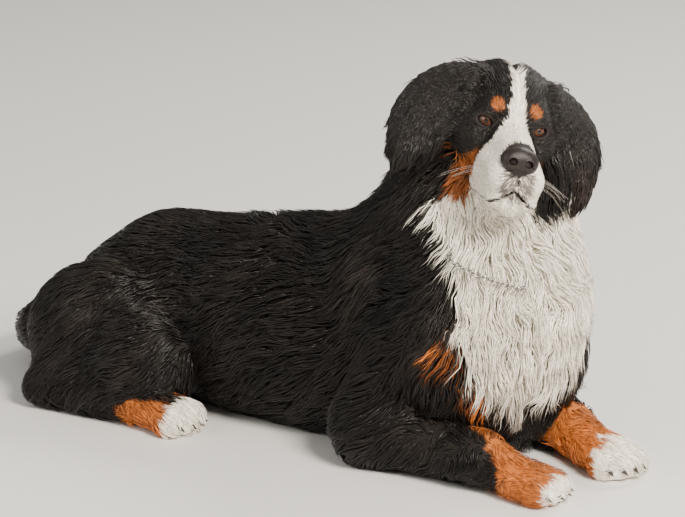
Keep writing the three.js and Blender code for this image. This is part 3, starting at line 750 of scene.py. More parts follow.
def trunk_markings(p, wobble):
    """The white bib, the rust on shoulders and jowl, and the black of the left cheek."""
    x, y, z = axes(p)
    bib = smooth(x - np.interp(z, *BIB_EDGE) + wobble, -3, 3)
    bib = bib * smooth(z - np.interp(y, *BIB_HEM) + wobble, -4, 4)
    turned_away = 0.83 * y - 0.56 * (x - 100)
    bib = bib * (1 - smooth(turned_away, 66, 86) * smooth(z, 350, 385))
    bib = bib * (1 - smooth(turned_away, 18, 40) * smooth(z, 392, 422))
    patch = shoulder_patch(vector(x, -np.abs(y), z))
    made = layered(all_black(p), RUST, smooth(-patch - 0.6 * wobble, -3, 3))
    made = layered(made, WHITE, bib)
    q = into_head(p)
    ahead, left, up = axes(q)
    jowl = smooth(ahead, -40, -28) * smooth(-ahead, -24, -8) * smooth(up, -140, -130)
    made = layered(made, RUST, jowl * smooth(-left, 30, 38) * smooth(z, 380, 400))
    made = layered(made, BLACK, smooth(-far_cheek(q) + 0.5 * wobble, -4, 4))
    return layered(made, RUST, cheek_spot(q, wobble))


def foreleg_markings(p, wobble):
    x, y, _ = axes(p)
    near = y < -60
    start = np.where(near, x + 1.5 * (y + 165) - 240, x - (y - 30) - 232)
    made = layered(all_black(p), RUST, smooth(start + wobble, -5, 5))
    return layered(made, WHITE, smooth(x + wobble - np.where(near, 355, 346), -4, 4))


def hind_foot_markings(p, wobble):
    x, _, z = axes(p)
    rust = smooth(x + wobble, -400, -385) * smooth(-z + wobble, -52, -42)
    made = layered(all_black(p), RUST, rust)
    return layered(made, WHITE, smooth(x + 0.5 * wobble, -308, -300))


def tail_markings(p, wobble):
    tip = smooth(-np.linalg.norm(p - TAIL_LINE[-1], axis=-1) + wobble, -66, -58)
    return layered(all_black(p), WHITE, tip)


def body_markings(p, part):
    wobble = ripple(p, 26, 5) * 7 + ripple(p, 9, 6) * 3
    trunk, leg = trunk_markings(p, wobble), foreleg_markings(p, wobble)
    foot, brush = hind_foot_markings(p, wobble), tail_markings(p, wobble)
    return by_part(part, [trunk, trunk, trunk, foot, leg, leg, brush])


body_tones = body_markings(body_points, part_of(body_points))
print("mean colour of the body", body_tones.mean(0).round(3))


# %% Markings of the head
NOSE_SPOT, NOSE_MIDDLE = (102, 0, -28), (104, 0, -28)
BLAZE_HALF = ((-60, -20, 0, 14, 26, 44, 70), (3, 7, 9, 12, 21, 44, 70))


def brows_and_cheeks(q, wobble):
    x, y, z = axes(q)
    made = all_black(q)
    for s in (1, -1):
        brow = np.linalg.norm((q - np.array((12, 28 * s, 27), "f")) / (1.4, 1, 1), axis=-1)
        made = layered(made, RUST, smooth(-brow - 0.25 * wobble, -12, -8))
    cheek = smooth(-z + 0.5 * x + wobble, 48, 60) * smooth(x, -62, -48) * smooth(np.abs(y), 26, 34)
    return layered(made, RUST, cheek * smooth(-x, -40, -10) * np.where(y < 0, 1, 0.3))


def blaze_and_chin(made, q, wobble):
    x, y, z = axes(q)
    width = np.interp(x, *BLAZE_HALF)
    width = np.where(z < -20, width + (-20 - z) * 0.75 * smooth(x, -10, 40), width)
    blaze = smooth(width - np.abs(y) + wobble, -1.5, 1.5) * smooth(z + 0.4 * x, -86, -70)
    blaze = np.where(z > 0, blaze * smooth(x, -78, -58), blaze * smooth(x, 0, 12))
    made = layered(made, WHITE, blaze)
    return layered(made, WHITE, smooth(-z, 84, 90) * smooth(x, -10, 6) * smooth(x, 0, 10))


def bare_edges(made, q):
    """The dark leather round the nose, along the lips and in the lids."""
    made = layered(made, LIP, smooth(-np.linalg.norm(q - NOSE_SPOT, axis=-1), -27, -24))
    dark = np.maximum(smooth(-mouth_line(q), -5.5, -3.2), smooth(-philtrum_line(q), -2.6, -1.6))
    for hole in openings:
        dark = np.maximum(dark, smooth(-hole(q), -2.4, -1.2) * (q[..., 0] > -12))
    return layered(made, LIP, dark)


def head_markings(q):
    _, y, z = axes(q)
    wobble = ripple(q, 16, 7) * 2.2 + ripple(q, 6, 8) * 1.2
    made = blaze_and_chin(brows_and_cheeks(q, wobble), q, wobble)
    speckle = smooth(ripple(q, 5, 11) + 1.0, 0, 0.9)
    upper_lip = smooth(-philtrum_line(q), -27, -17) * smooth(-z, 38, 46) * speckle
    made = layered(made, MAUVE, upper_lip * 0.88)
    on_ear = smooth(-ear_share(q), -3, 1)
    made = layered(made, BLACK, on_ear)
    faint = smooth(y, 100, 118) * smooth(-z + wobble, 30, 60) * on_ear
    made = layered(made, RUST, np.maximum(faint * 0.02, cheek_spot(q, wobble)))
    return bare_edges(made, q)


head_tones = head_markings(head_points)
print("mean colour of the head", head_tones.mean(0).round(3))

# %% [markdown]
# ## Skin
# One skin carries all of the flesh. It is two closed shells, body and head, whose meeting is
# buried deep in the ruff. Its finish is a short nap, raised by a fine noise, and its colour is
# painted on its points.

# %% The skin
skin_finish, mix = finish_of("short_coat", roughness=0.7, specular_ior_level=0.2)
mix.painted()
place = mix.node("ShaderNodeTexCoord")[3]
stretch = mix.node("ShaderNodeMapping", {}, {0: place, 3: (260, 260, 620)})[0]
mix.relief(0.001, mix.node("ShaderNodeTexNoise", {}, {0: stretch, "Scale": 1.0, "Detail": 3.0})[0])

skin_points = np.concatenate([body_points, from_head(head_points)])
skin_faces = np.concatenate([body_faces, head_faces + len(body_points)])
skin = mesh_object("skin", skin_points, skin_faces, skin_finish)
paint(skin, np.concatenate([body_tones, head_tones]))
FLESH = ["torso", "neck", "head", "ear_left", "ear_right", "thigh_left", "thigh_right", "tail"]
FLESH += [f"{n}_{s}" for n in ("foreleg", "forepaw", "hind_foot") for s in ("left", "right")]
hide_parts(*FLESH)
print("skin", len(skin_faces), "faces")

# %% [markdown]
# ## The lie of the coat
# Hair grows back from the nose, down from the throat, back along the body and down the sides, and
# along the tail. The direction at a point is a simple sum, which is then laid flat on the skin.


# %% Which way the body's hair lies, how deep and how long
def along_tail(p):
    best, way = np.full(p.shape[:-1], 1e9, "f"), np.zeros_like(p)
    for i in range(len(TAIL_LINE) - 1):
        a, d = TAIL_LINE[i], TAIL_LINE[i + 1] - TAIL_LINE[i]
        t = np.clip((p - a) @ d / (d @ d), 0, 1)
        far = np.linalg.norm(p - a - t[..., None] * d, axis=-1)
        way = np.where((far < best)[..., None], unit(d), way)
        best = np.minimum(far, best)
    return way


def body_lie(p, part):
    x, y, _ = axes(p)
    chest, front = smooth(x, 60, 230), smooth(x, 60, 200)
    side = smooth(np.abs(y - sway(x)), 20, 120)
    trunk = vector(-1 + 0.95 * chest, 0, -0.55 * side - 0.9 * chest)
    throat = vector(-0.75 + 0.85 * front, 0, -0.8)
    legs = np.array([(-0.8, 0, -0.75), (0.6, 0, -0.4), (-0.62, 0, -0.7), (0.9, 0, -0.35)], p.dtype)
    way = by_part(part, [trunk, throat, *legs, along_tail(p)])
    loose = (0.16 + 0.34 * chest)[..., None]
    return way + 0.22 * ripples(p, 120, 21) + loose * ripples(p, 45, 24)


def by_the_jaw(p):
    """One beside the corners of the mouth, where the hair is short."""
    x, y, z = axes(into_head(p))
    corner = vector(x + 8, np.abs(y) - 48, z + 105)
    return 1 - smooth(np.linalg.norm(corner, axis=-1), 42, 80)


def body_depth(p, part):
    x = p[..., 0]
    rump = 1 - 0.55 * smooth(-x, 220, 330)
    chest = (19 + 14 * smooth(x, 20, 170)) * rump
    throat = (24 + 10 * smooth(x, 60, 180)) * (1 - 0.7 * by_the_jaw(p))
    legs = 15 - 8 * smooth(x, 20, 170)
    return np.choose(part, [chest, throat, 17 * rump, 6 + 0 * x, legs, 5 + 0 * x, 14 + 0 * x])


def body_length(p, part):
    x = p[..., 0]
    chest = 58 + 6 * smooth(x, 20, 170)
    throat = (60 + 4 * smooth(x, 60, 180)) * (1 - 0.62 * by_the_jaw(p))
    legs = 42 - 18 * smooth(x, 60, 200)
    return np.choose(part, [chest, throat, 56 + 0 * x, 20 + 0 * x, legs, 15 + 0 * x, 70 + 0 * x])


print("lie of the coat over the withers", body_lie(np.array([[0, 0, 300.0]], "f"), np.array([0])))


# %% Which way the head's hair lies, how deep and how long
def head_lie(q):
    x, y, z = axes(q)
    s = np.sign(y)
    back = smooth(-x, -20, 60)
    way = vector(-1, s * (0.25 + 0.2 * back), 0.25 - 0.9 * smooth(-z, 0, 50) * back)
    muzzle = smooth(x, 10, 40) * smooth(-z, 30, 60)
    way = way + vector(0, 0.25 * s * muzzle, -0.5 * muzzle)
    on_ear = smooth(-ear_share(q), -3, 6)[..., None]
    drop, over = vector(-0.30, 0.16 * s, -1), vector(-0.2, 1.0 * s, -0.15)
    low = smooth(np.abs(y), 70, 104)[..., None]
    way = way * (1 - on_ear) + (over + (drop - over) * low) * on_ear
    return way + 0.10 * ripples(q, 30, 31)


def head_depth(q):
    return 1.6 + 12 * smooth(-q[..., 0], -6, 90) + 4 * smooth(-q[..., 2], 80, 110)


def head_length(q):
    return 8 + 34 * smooth(-q[..., 0], -6, 90) + 5 * smooth(-q[..., 2], 80, 110)


print("lie of the coat on the brow", head_lie(np.array([[0, 20, 20.0]], "f")))

# %% [markdown]
# ## Tufts
# A tuft is a thin three-sided blade that follows the skin and lifts away from it towards its tip.
# Neighbours lean together into locks, as long hair does. Each one is laid by walking over the
# skin in the lie of the coat, for all of the tufts at once.


# %% Sow roots and walk over the skin
def scattered(points, faces, weight, count, draw):
    """Roots spread over the faces as thickly as the weight asks, and the area so weighted."""
    a, b, c, d = (points[faces[:, k]] for k in range(4))
    area = np.linalg.norm(np.cross(c - a, d - b), axis=-1) / 2
    share = area * weight((a + b + c + d) / 4)
    picks = draw.choice(len(faces), count, p=share / share.sum())
    u, v = draw.random((2, count, 1))
    spot = (1 - u) * ((1 - v) * a[picks] + v * b[picks]) + u * ((1 - v) * d[picks] + v * c[picks])
    return spot.astype("f"), float(share.sum())


def walked(field, lie, roots, length, stations):
    """Places on the skin and the outward way at each station, as far apart as the length asks."""
    spots, outs = [], []
    p = roots
    for k, t in enumerate(stations):
        here, out = slope_of(field, p)
        p = p - here[..., None] * out * (0.9 if k else 1)
        spots.append(p)
        outs.append(out)
        if k + 1 < len(stations):
            way = lie(p)
            way = unit(way - (way * out).sum(-1)[..., None] * out)
            p = p + way * (length * (stations[k + 1] - t))[..., None]
    return np.stack(spots, 1), np.stack(outs, 1)


# %% Lift, wave and gather the paths
def lifted(spots, outs, depth, stations, rise):
    height = depth[:, None] * (np.array(stations, "f")[None, :] ** rise[:, None])
    return spots + outs * height[..., None]


def wavy(paths, outs, roots, stations, amount, size, seed):
    """Slow waves across each path that neighbours share."""
    across = np.cross(unit(np.gradient(paths, axis=1)), outs)
    phase = ripple(roots, 70, seed) * 3.0
    run = np.linalg.norm(np.diff(paths, axis=1, prepend=paths[:, :1]), axis=-1).cumsum(1)
    wave = np.sin(run / size * 2 * math.pi + phase[:, None]) * np.array(stations, "f")
    return paths + across * (amount[:, None] * wave)[..., None]


def gathered(paths, guides, owner, amount, stations):
    """The paths drawn towards their guides, more so towards the tips."""
    pull = amount[:, None] * np.array(stations, "f") ** 1.3
    return paths + (guides[owner] - paths) * pull[..., None]


def nearest_of(points, seeds):
    tree = KDTree(len(seeds))
    for i, seed in enumerate(seeds):
        tree.insert(seed, i)
    tree.balance()
    return np.array([tree.find(p)[1] for p in points])


# %% Turn paths into blades
BROAD, THICK = 0.58, 0.3


def blades(paths, outs, width, twist):
    """Rings of three corners along each path, and the faces that close them."""
    count, stations = paths.shape[:2]
    rings = stations - 1
    thick = width * THICK
    ahead = unit(np.gradient(paths, axis=1))
    across = unit(np.cross(ahead, outs))
    over = np.cross(across, ahead)
    c, s = np.cos(twist)[:, None, None], np.sin(twist)[:, None, None]
    across, over = across * c + over * s, over * c - across * s
    corners = []
    for angle in (90, 210, 330):
        x, y = math.cos(math.radians(angle)), math.sin(math.radians(angle))
        sideways = across * (width * x)[..., None] * BROAD
        corners.append(paths + sideways + over * (thick * y)[..., None])
    points = np.stack(corners, 2)[:, :rings].reshape(count, rings * 3, 3)
    points = np.concatenate([points, paths[:, -1:]], 1)
    faces = [(2, 1, 0)]
    for r in range(rings - 1):
        for k in range(3):
            a, b = 3 * r + k, 3 * r + (k + 1) % 3
            faces += [(a, b, b + 3), (a, b + 3, a + 3)]
    last = 3 * (rings - 1)
    faces += [(last + k, last + (k + 1) % 3, 3 * rings) for k in range(3)]
    return points, np.array(faces)


# %% [markdown]
# ## The collar's path
# The collar goes round the neck in a slanting plane. Its path is found first, because the coat
# is pressed down where the chain lies on it.

# %% The path of the collar
COLLAR_MIDDLE = np.array((110, 0, 369))
COLLAR_POINTS = 120
COLLAR_SLOPE = math.radians(25)


def chain_level(p):
    """How far a point lies outside the level of the chain, which sinks into the ruff."""
    x, y, _ = axes(p)
    deep = smooth(x, 60, 180)
    lift = 0.34 + 0.56 * smooth(x, 140, 158) * smooth(-y, 66, 84)
    return merged(30, bare_torso, bare_neck)(p) - lift * (74 * deep + 38 * (1 - deep))


turns = np.linspace(0, 2 * math.pi, COLLAR_POINTS, endpoint=False)
ahead = np.array((math.cos(COLLAR_SLOPE), 0, -math.sin(COLLAR_SLOPE)))
chain_out = np.cos(turns)[:, None] * ahead + np.sin(turns)[:, None] * np.array((0, 1, 0))
reach = np.full(COLLAR_POINTS, 120.0)
for _ in range(30):
    reach -= chain_level((COLLAR_MIDDLE + chain_out * reach[:, None]).astype("f")) * 0.6
chain_path = COLLAR_MIDDLE + chain_out * reach[:, None]
print("collar", round(float(np.linalg.norm(np.diff(chain_path, axis=0), axis=1).sum())), "mm round")


def pressed(paths):
    """Press the coat down where the chain lies on it, on the near side of the bib."""
    flat = paths.reshape(-1, 3)
    for i in np.flatnonzero((chain_path[:, 0] > 148) & (chain_path[:, 1] < -74)):
        out = chain_out[i]
        ahead = unit(chain_path[(i + 1) % COLLAR_POINTS] - chain_path[i - 1])
        delta = flat - chain_path[i]
        near = np.flatnonzero(np.abs(delta @ ahead) < 8)
        rise, off = delta[near] @ out, np.abs(delta[near] @ np.cross(ahead, out))
        push = np.maximum(rise + 2.5, 0) * (1 - smooth(off, 5, 20)) * (rise < 60)
        flat[near] -= push[:, None] * out * 0.9
    return flat.reshape(paths.shape)


# %% [markdown]
# ## Laying the coat
# The long coat of the body is laid in one go and the short coat of the face in another, so that
# each can have its own length, depth and fineness. Guides are laid too, far fewer than the tufts,
# and each tuft leans towards its nearest guide.

# %% Sow and lay long tufts
draw = np.random.default_rng(2024)
LONG = (0, 0.22, 0.45, 0.72, 1.0)
LONG_TAPER = np.array((0.75, 1.0, 0.9, 0.6, 0.0), "f")
LONG_COUNT = 42000
GUIDE_GAP = 25
TIP_GAP = 0.8


def body_weight(p):
    part = part_of(p)
    bib = smooth(p[..., 0], 60, 150)
    dense = np.choose(part, [1.0 + 1.1 * bib, 1.4 + 0.7 * bib, 1.1, 1.6, 1.2, 2.2, 1.1])
    inside = smooth(head(into_head(p)), -30, -12)
    return dense * smooth(p[..., 2], 1.5, 12) * (0.02 + 0.98 * inside)


def sown(count, lengths, depths):
    """Roots on the body, the part that each stands on, its length and depth, and the area."""
    roots, area = scattered(body_points, body_faces, body_weight, count, draw)
    part = part_of(roots)
    length = body_length(roots, part) * draw.uniform(*lengths, count)
    depth = body_depth(roots, part) * draw.uniform(*depths, count)
    return roots, part, length, depth, area


def laid(roots, part, length, depth):
    spots, outs = walked(body, lambda p: body_lie(p, part), roots, length, LONG)
    paths = lifted(spots, outs, depth, LONG, draw.uniform(0.3, 0.5, len(roots)))
    swing = np.choose(part, [4.0, 3.5, 4.5, 0.3, 1.5, 0.2, 5.0])
    return wavy(paths, outs, roots, LONG, swing, 46, 41), outs


# %% Long coat
roots, part, length, depth, area = sown(LONG_COUNT, (0.75, 1.2), (0.5, 1.0))
guides = sown(int(area / GUIDE_GAP**2), (0.9, 1.15), (0.6, 0.95))
paths, outs = laid(roots, part, length, depth)
guide_paths, _ = laid(*guides[:4])
owner = nearest_of(roots, guides[0])
pull = draw.uniform(0.3, 0.66, LONG_COUNT) * np.choose(part, [0.95, 0.72, 1, 0.4, 0.8, 0.3, 1])
paths = pressed(gathered(paths, guide_paths, owner, pull, LONG))
broad = np.choose(part, [2.3, 2.3, 2.4, 1.6, 2.1, 1.3, 2.8])
broad = broad * (1 - 0.16 * smooth(roots[:, 0], 100, 180))
width = broad[:, None] * draw.uniform(0.75, 1.2, (LONG_COUNT, 1)) * LONG_TAPER
tuft_points, tuft_faces = blades(paths, outs, width, draw.uniform(-0.25, 0.25, LONG_COUNT))
tuft_points[..., 2] = np.maximum(tuft_points[..., 2], TIP_GAP)
print("long coat", LONG_COUNT, "tufts,", LONG_COUNT * len(tuft_faces), "faces")

# %% [markdown]
# ## A map for the coat's colours
# A model with its colours baked into pictures needs each tuft to have a place of its own on the
# picture. The skin is drawn once more, coarsely, and unwrapped, and each tuft takes a tiny patch
# where its root stands.


# %% Unwrap a coarse skin
def unwrapped(shells):
    points = np.concatenate([p for p, _ in shells])
    shift = np.cumsum([0] + [len(p) for p, _ in shells[:-1]])
    faces = np.concatenate([f + k for (_, f), k in zip(shells, shift)])
    mesh = bpy.data.meshes.new("pattern")
    mesh.from_pydata([tuple(p) for p in points], [], faces.tolist())
    carrier = placed("pattern", mesh)
    bpy.context.view_layer.objects.active = carrier
    carrier.select_set(True)
    bpy.ops.object.mode_set(mode="EDIT")
    bpy.ops.mesh.select_all(action="SELECT")
    bpy.ops.uv.smart_project(angle_limit=math.radians(66), island_margin=0.004)
    bpy.ops.object.mode_set(mode="OBJECT")
    flat = np.empty(len(mesh.loops) * 2, "f")
    mesh.uv_layers.active.data.foreach_get("uv", flat)
    bpy.data.objects.remove(carrier)
    return points, faces, flat.reshape(-1, 3, 2)


def halves(points, quads):
    return points, np.concatenate([quads[:, [0, 1, 2]], quads[:, [0, 2, 3]]])


coarse_body = halves(*drawn(body, *BODY_BOX, 14))
coarse_head = drawn(head, (-195, -185, -145), (135, 185, 105), 7)
coarse_head = halves(from_head(coarse_head[0]), coarse_head[1])
pattern_points, pattern_faces, pattern_uv = unwrapped([coarse_body, coarse_head])
pattern_tree = BVHTree.FromPolygons(pattern_points.tolist(), pattern_faces.tolist())
print("pattern", len(pattern_faces), "faces")


# %% Pieces of the coat
PIECE_FACES = 190000
PATCH = (0.0014, 0.0028)
coat_finish, mix = finish_of("long_coat", roughness=0.4, specular_ior_level=0.36)
mix.painted()


def root_places(roots):
    """Where each root falls on the unwrapped skin."""
    found = [pattern_tree.find_nearest(Vector(r)) for r in roots.tolist()]
    at = np.array([f[0] for f in found])
    face = np.array([f[2] for f in found])
    a, b, c = (pattern_points[pattern_faces[face, k]] for k in range(3))
    normal = np.cross(b - a, c - a)
    size = (normal * normal).sum(-1) + 1e-9
    v = (np.cross(at - a, c - a) * normal).sum(-1) / size
    w = (np.cross(b - a, at - a) * normal).sum(-1) / size
    share = np.stack([1 - v - w, v, w], -1)
    return (pattern_uv[face] * share[..., None]).sum(1)


def coat_piece(name, points, faces, tones, places):
    count, corners = points.shape[:2]
    every = (faces[None] + corners * np.arange(count)[:, None, None]).reshape(-1, 3)
    made = mesh_object(name, points.reshape(-1, 3), every, coat_finish)
    paint(made, tones.reshape(-1, 3))
    corner = np.arange(corners)
    patch = np.stack([corner % 3 - 1, corner // 3 - corners / 6], -1)
    patch = patch * np.array((PATCH[0], PATCH[1] / (corners / 3)))
    uv = places[:, None] + patch[faces.ravel()][None]
    made.data.uv_layers.new(name="OFBake").data.foreach_set("uv", uv.astype("f").ravel())


def coat_pieces(name, chosen, points, faces, tones, places):
    """The chosen tufts, in as many pieces as the limit on a piece's faces asks."""
    split = max(1, math.ceil(len(chosen) * len(faces) / PIECE_FACES))
    for i in range(split):
        pick = chosen[i::split]
        label = f"coat_{name}" + (f"_{i + 1}" if split > 1 else "")
        coat_piece(label, points[pick], faces, tones[pick], places[pick])
    print("coat on the", name, len(chosen), "tufts in", split, "pieces")


# %% Colour of the long coat
def painted_sheen(p):
    """Painted sheen and shade: slow light and dark streaks, as the coat parts and turns."""
    return np.exp(0.5 * ripple(p, 90, 51) + 0.28 * ripple(p, 26, 52))


def shaded(colours, rings, owner_tone):
    """Painted shade, darker towards the root, with each tuft and each lock a little its own."""
    # The root end is painted darker, as shade between the hairs; pale hair gets only a little of it.
    along = np.append(np.repeat(np.linspace(0.6, 1.0, rings), 3), 1.05)
    pale = smooth(colours.sum(-1), 0.6, 1.6)[:, None]
    along = along[None, :] * (1 - pale) + (0.1 * along[None, :] + 0.9) * pale
    own = owner_tone * draw.uniform(0.9, 1.1, len(colours))
    own = own + (1 - own) * 0.85 * pale[:, 0]
    return colours[:, None, :] * (along * own[:, None])[..., None]


# Each lock takes a random tone, partly its own and partly painted sheen, and the painted sheen streaks
# are multiplied over it.
lock_tone_and_sheen = draw.uniform(0.85, 1.15, owner.max() + 1)
seen = (paths[:, 2] + paths[:, 3]) / 2 + draw.normal(0, 1.5, roots.shape)
tones = shaded(body_markings(seen.astype("f"), part), 4, lock_tone_and_sheen[owner] * painted_sheen(roots))
places = root_places(roots)
for k, name in enumerate(BODY):
    coat_pieces(name, np.flatnonzero(part == k), tuft_points, tuft_faces, tones, places)

# %% [markdown]
# ## Face and ears
# The face has short hair that lies flat from the nose back. The ears carry long soft hair that
# hangs past their edges.

# %% Short coat of the face
SHORT = (0, 0.4, 0.75, 1.0)
SHORT_TAPER = np.array((0.8, 1.0, 0.65, 0.0), "f")
SHORT_COUNT = 22000


def head_weight(q):
    """Thick on the muzzle, and next to none on ears, lips, nose and eyes."""
    x = q[..., 0]
    on_ear = smooth(-ear_share(q), -2, 4)
    nose_away = np.linalg.norm(q - NOSE_MIDDLE, axis=-1)
    bare = smooth(mouth_line(q), 2.5, 5) * smooth(nose_away, 20, 30)
    for hole in openings:
        bare = bare * np.where(x > -16, smooth(hole(q), 2.0, 4.0), 1)
    for ball in sockets:
        bare = bare * smooth(ball(q), 0.5, 2.0)
    buried = smooth(body(from_head(q)), -14, 0)
    return (1.0 + 0.7 * smooth(x, -30, 20)) * (1 - 0.999 * on_ear) * bare * (0.01 + 0.99 * buried)


roots, area = scattered(head_points, head_faces, head_weight, SHORT_COUNT, draw)
depth = head_depth(roots) * draw.uniform(0.45, 1.0, SHORT_COUNT)
length = head_length(roots) * draw.uniform(0.8, 1.2, SHORT_COUNT)
spots, outs = walked(head, head_lie, roots, length, SHORT)
paths = lifted(spots, outs, depth, SHORT, draw.uniform(0.7, 1.1, SHORT_COUNT))
width = (1.25 + 1.3 * smooth(-roots[:, 0], -6, 90))[:, None] * SHORT_TAPER
points, faces = blades(paths, outs, width, draw.uniform(-0.5, 0.5, SHORT_COUNT))
tones = shaded(head_markings(roots + draw.normal(0, 0.7, roots.shape)), 3, 1.0)
places = root_places(from_head(roots))
coat_pieces("face", np.arange(SHORT_COUNT), from_head(points), faces, tones, places)
print("face", SHORT_COUNT, "tufts over", round(area), "square millimetres")

# %% Long coat of the ears
EAR_COUNT = 9000
EAR_TUFT_WIDTH = 2.4
EAR_LOCK = 34
ALONG_SKIN, HANGING = 0.45, 0.45


def ear_weight(q):
    return smooth(-ear_share(q), -6, 2)


roots, area = scattered(head_points, head_faces, ear_weight, EAR_COUNT, draw)
low = smooth(-roots[:, 2], -20, 70)
length = (44 + 34 * low) * draw.uniform(0.7, 1.15, EAR_COUNT)
depth = (5 + 4 * low) * draw.uniform(0.3, 1.0, EAR_COUNT)
spots, outs = walked(head, head_lie, roots, length * ALONG_SKIN, LONG)
drop = unit(vector(-0.42, 0.10 * np.sign(roots[:, 1]), -1))
loose = np.array(LONG, "f") ** 1.5
paths = spots + drop[:, None, :] * (length * HANGING)[:, None, None] * loose[None, :, None]
paths = lifted(paths, outs, depth, LONG, draw.uniform(0.5, 0.9, EAR_COUNT))
paths = wavy(paths, outs, roots, LONG, np.full(EAR_COUNT, 7.5), 34, 43)
seeds = np.arange(0, EAR_COUNT, EAR_LOCK)
paths[seeds] += outs[seeds] * (draw.uniform(-2, 9, (len(seeds), 1)) * loose)[..., None]
owner = nearest_of(roots, roots[seeds])
paths = gathered(paths, paths[seeds], owner, draw.uniform(0.5, 0.92, EAR_COUNT), LONG)
width = EAR_TUFT_WIDTH * draw.uniform(0.7, 1.25, (EAR_COUNT, 1)) * LONG_TAPER
points, faces = blades(paths, outs, width, draw.uniform(-0.5, 0.5, EAR_COUNT))
# Each ear lock takes a random lighter or darker tone, partly its own and partly painted sheen.
tones = shaded(head_markings(roots), 4, draw.uniform(0.6, 1.5, len(seeds))[owner])
places = root_places(from_head(roots))
coat_pieces("ears", np.arange(EAR_COUNT), from_head(points), faces, tones, places)
print("ears", EAR_COUNT, "tufts over", round(area), "square millimetres")

# %% [markdown]
# ## Nose leather
# The nose is bare, pebbled leather with two comma-shaped nostrils and a groove down the middle.


# %% The nose
def nose_field(p):
    sides = both(lambda s: blob((106, s * 15, -31), (13, 12, 13)))
    made = merged(8, blob((104, 0, -27), (17, 26, 19)), *sides)(p)
    for s in (1, -1):
        made = np.maximum(made, -limb((120, s * 11.5, -29), (108, s * 20, -32), 5.6, 3.6)(p))
        made = np.maximum(made, -limb((116, s * 19, -33), (104, s * 26, -37), 2.4, 1.0)(p))
    return np.maximum(made, 0.9 - limb((124, 0, -22), (116, 0, -46), 0, 0)(p))


nose_points, nose_faces = drawn(nose_field, (82, -32, -52), (128, 32, -2), 0.8)
nose_finish, mix = finish_of("nose_leather", (0.013, 0.009, 0.008), 0.4, specular_ior_level=0.3)
place = mix.node("ShaderNodeTexCoord")[3]
mix.relief(0.0006, mix.node("ShaderNodeTexVoronoi", {}, {"Vector": place, "Scale": 620.0})[0])
nose = mesh_object("nose_leather", from_head(nose_points), nose_faces, nose_finish)
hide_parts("nose")
print("nose", len(nose_faces), "faces")

# %% [markdown]
# ## Eyes
# Brown eyes with a dark pupil and a clear, wet front. A ball with a slight bulge for the cornea is
# enough, with its colours set by the angle from the line of sight.

# %% The eyes
EYE_RADIUS, CORNEA = 12.4, 0.9
# Each row is an angle from the line of sight in radians, and the colour there.
EYE_COLOURS = [
    (0, (0.003, 0.002, 0.002)),
    (0.25, (0.003, 0.002, 0.002)),
    (0.29, (0.075, 0.028, 0.014)),
    (0.44, (0.15, 0.056, 0.027)),
    (0.52, (0.040, 0.018, 0.012)),
    (0.58, (0.06, 0.035, 0.028)),
    (0.75, (0.16, 0.10, 0.085)),
    (3.2, (0.16, 0.10, 0.085)),
]


def eyeball(side):
    """Points, faces and each point's angle from the line of sight."""
    rows, columns = 48, 64
    line = turned("z", side * 14) @ turned("y", 2)
    angles = np.linspace(0, math.pi, rows + 1)[1:-1]
    rounds = np.linspace(0, 2 * math.pi, columns, endpoint=False)
    radius = EYE_RADIUS + CORNEA * np.exp(-((angles / 0.42) ** 2))
    ring = (radius * np.sin(angles))[:, None]
    up, across = (ring * np.cos(rounds)).ravel(), (ring * np.sin(rounds)).ravel()
    points = np.stack([np.repeat(radius * np.cos(angles), columns), up, across], -1)
    points = np.concatenate([points, [(EYE_RADIUS + CORNEA, 0, 0), (-EYE_RADIUS, 0, 0)]])
    away = np.concatenate([np.repeat(angles, columns), [0, math.pi]])
    faces = []
    for r in range(rows - 2):
        for k in range(columns):
            a, b = r * columns + k, r * columns + (k + 1) % columns
            faces += [(a, a + columns, b), (b, a + columns, b + columns)]
    first, last = len(points) - 2, len(points) - 1
    end_ring = (rows - 2) * columns
    for k in range(columns):
        n = (k + 1) % columns
        faces += [(first, k, n), (last, end_ring + n, end_ring + k)]
    return points @ line.T + eye_place(side), np.array(faces), away


eye_finish, mix = finish_of(
    "wet_eye", roughness=0.2, coat_weight=0.45, coat_roughness=0.02, specular_ior_level=0.3
)
mix.painted()
angles, hues = zip(*EYE_COLOURS)
for side, name in ((1, "left"), (-1, "right")):
    points, faces, away = eyeball(side)
    eye = mesh_object(f"eye_{name}_ball", from_head(points), faces, eye_finish)
    paint(eye, np.stack([np.interp(away, angles, hue) for hue in zip(*hues)], -1))
    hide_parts(f"eye_{name}")
print("eyes", len(faces), "faces each")

# %% [markdown]
# ## Claws
# The claws are the solid model's own, in dark horn.

# %% The claws
horn, _ = finish_of("claw_horn", (0.035, 0.028, 0.024), 0.35)
claws = [node for name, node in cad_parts.items() if name.startswith("claw_")]
for claw in claws:
    claw.data.materials.clear()
    claw.data.materials.append(horn)
print("claws", len(claws))

# %% [markdown]
# ## Collar
# The collar is a fine silver chain, half sunk in the coat. A chain is one link laid again and
# again along a path, each turned a quarter from the last, so Geometry Nodes lays it.


# %% Build a small tree of Geometry Nodes
def growth(name, sizes):
    """A tree with a geometry input, named size inputs and a geometry output."""
    tree = bpy.data.node_groups.new(name, "GeometryNodeTree")
    tree.interface.new_socket("Path", in_out="INPUT", socket_type="NodeSocketGeometry")
    for label, value in sizes.items():
        made = tree.interface.new_socket(label, in_out="INPUT", socket_type="NodeSocketFloat")
        made.default_value = value
    tree.interface.new_socket("Piece", in_out="OUTPUT", socket_type="NodeSocketGeometry")
    recipe = Recipe(tree)
    return recipe, recipe.node("NodeGroupInput")


def path_mesh(name, paths, closed):
    points, edges = [], []
    for path in paths:
        first = len(points)
        points += [tuple(p) for p in to_scene(path)]
        edges += [(first + i, first + i + 1) for i in range(len(path) - 1)]
        if closed:
            edges.append((len(points) - 1, first))
    mesh = bpy.data.meshes.new(name + "_path")
    mesh.from_pydata(points, edges, [])
    return mesh


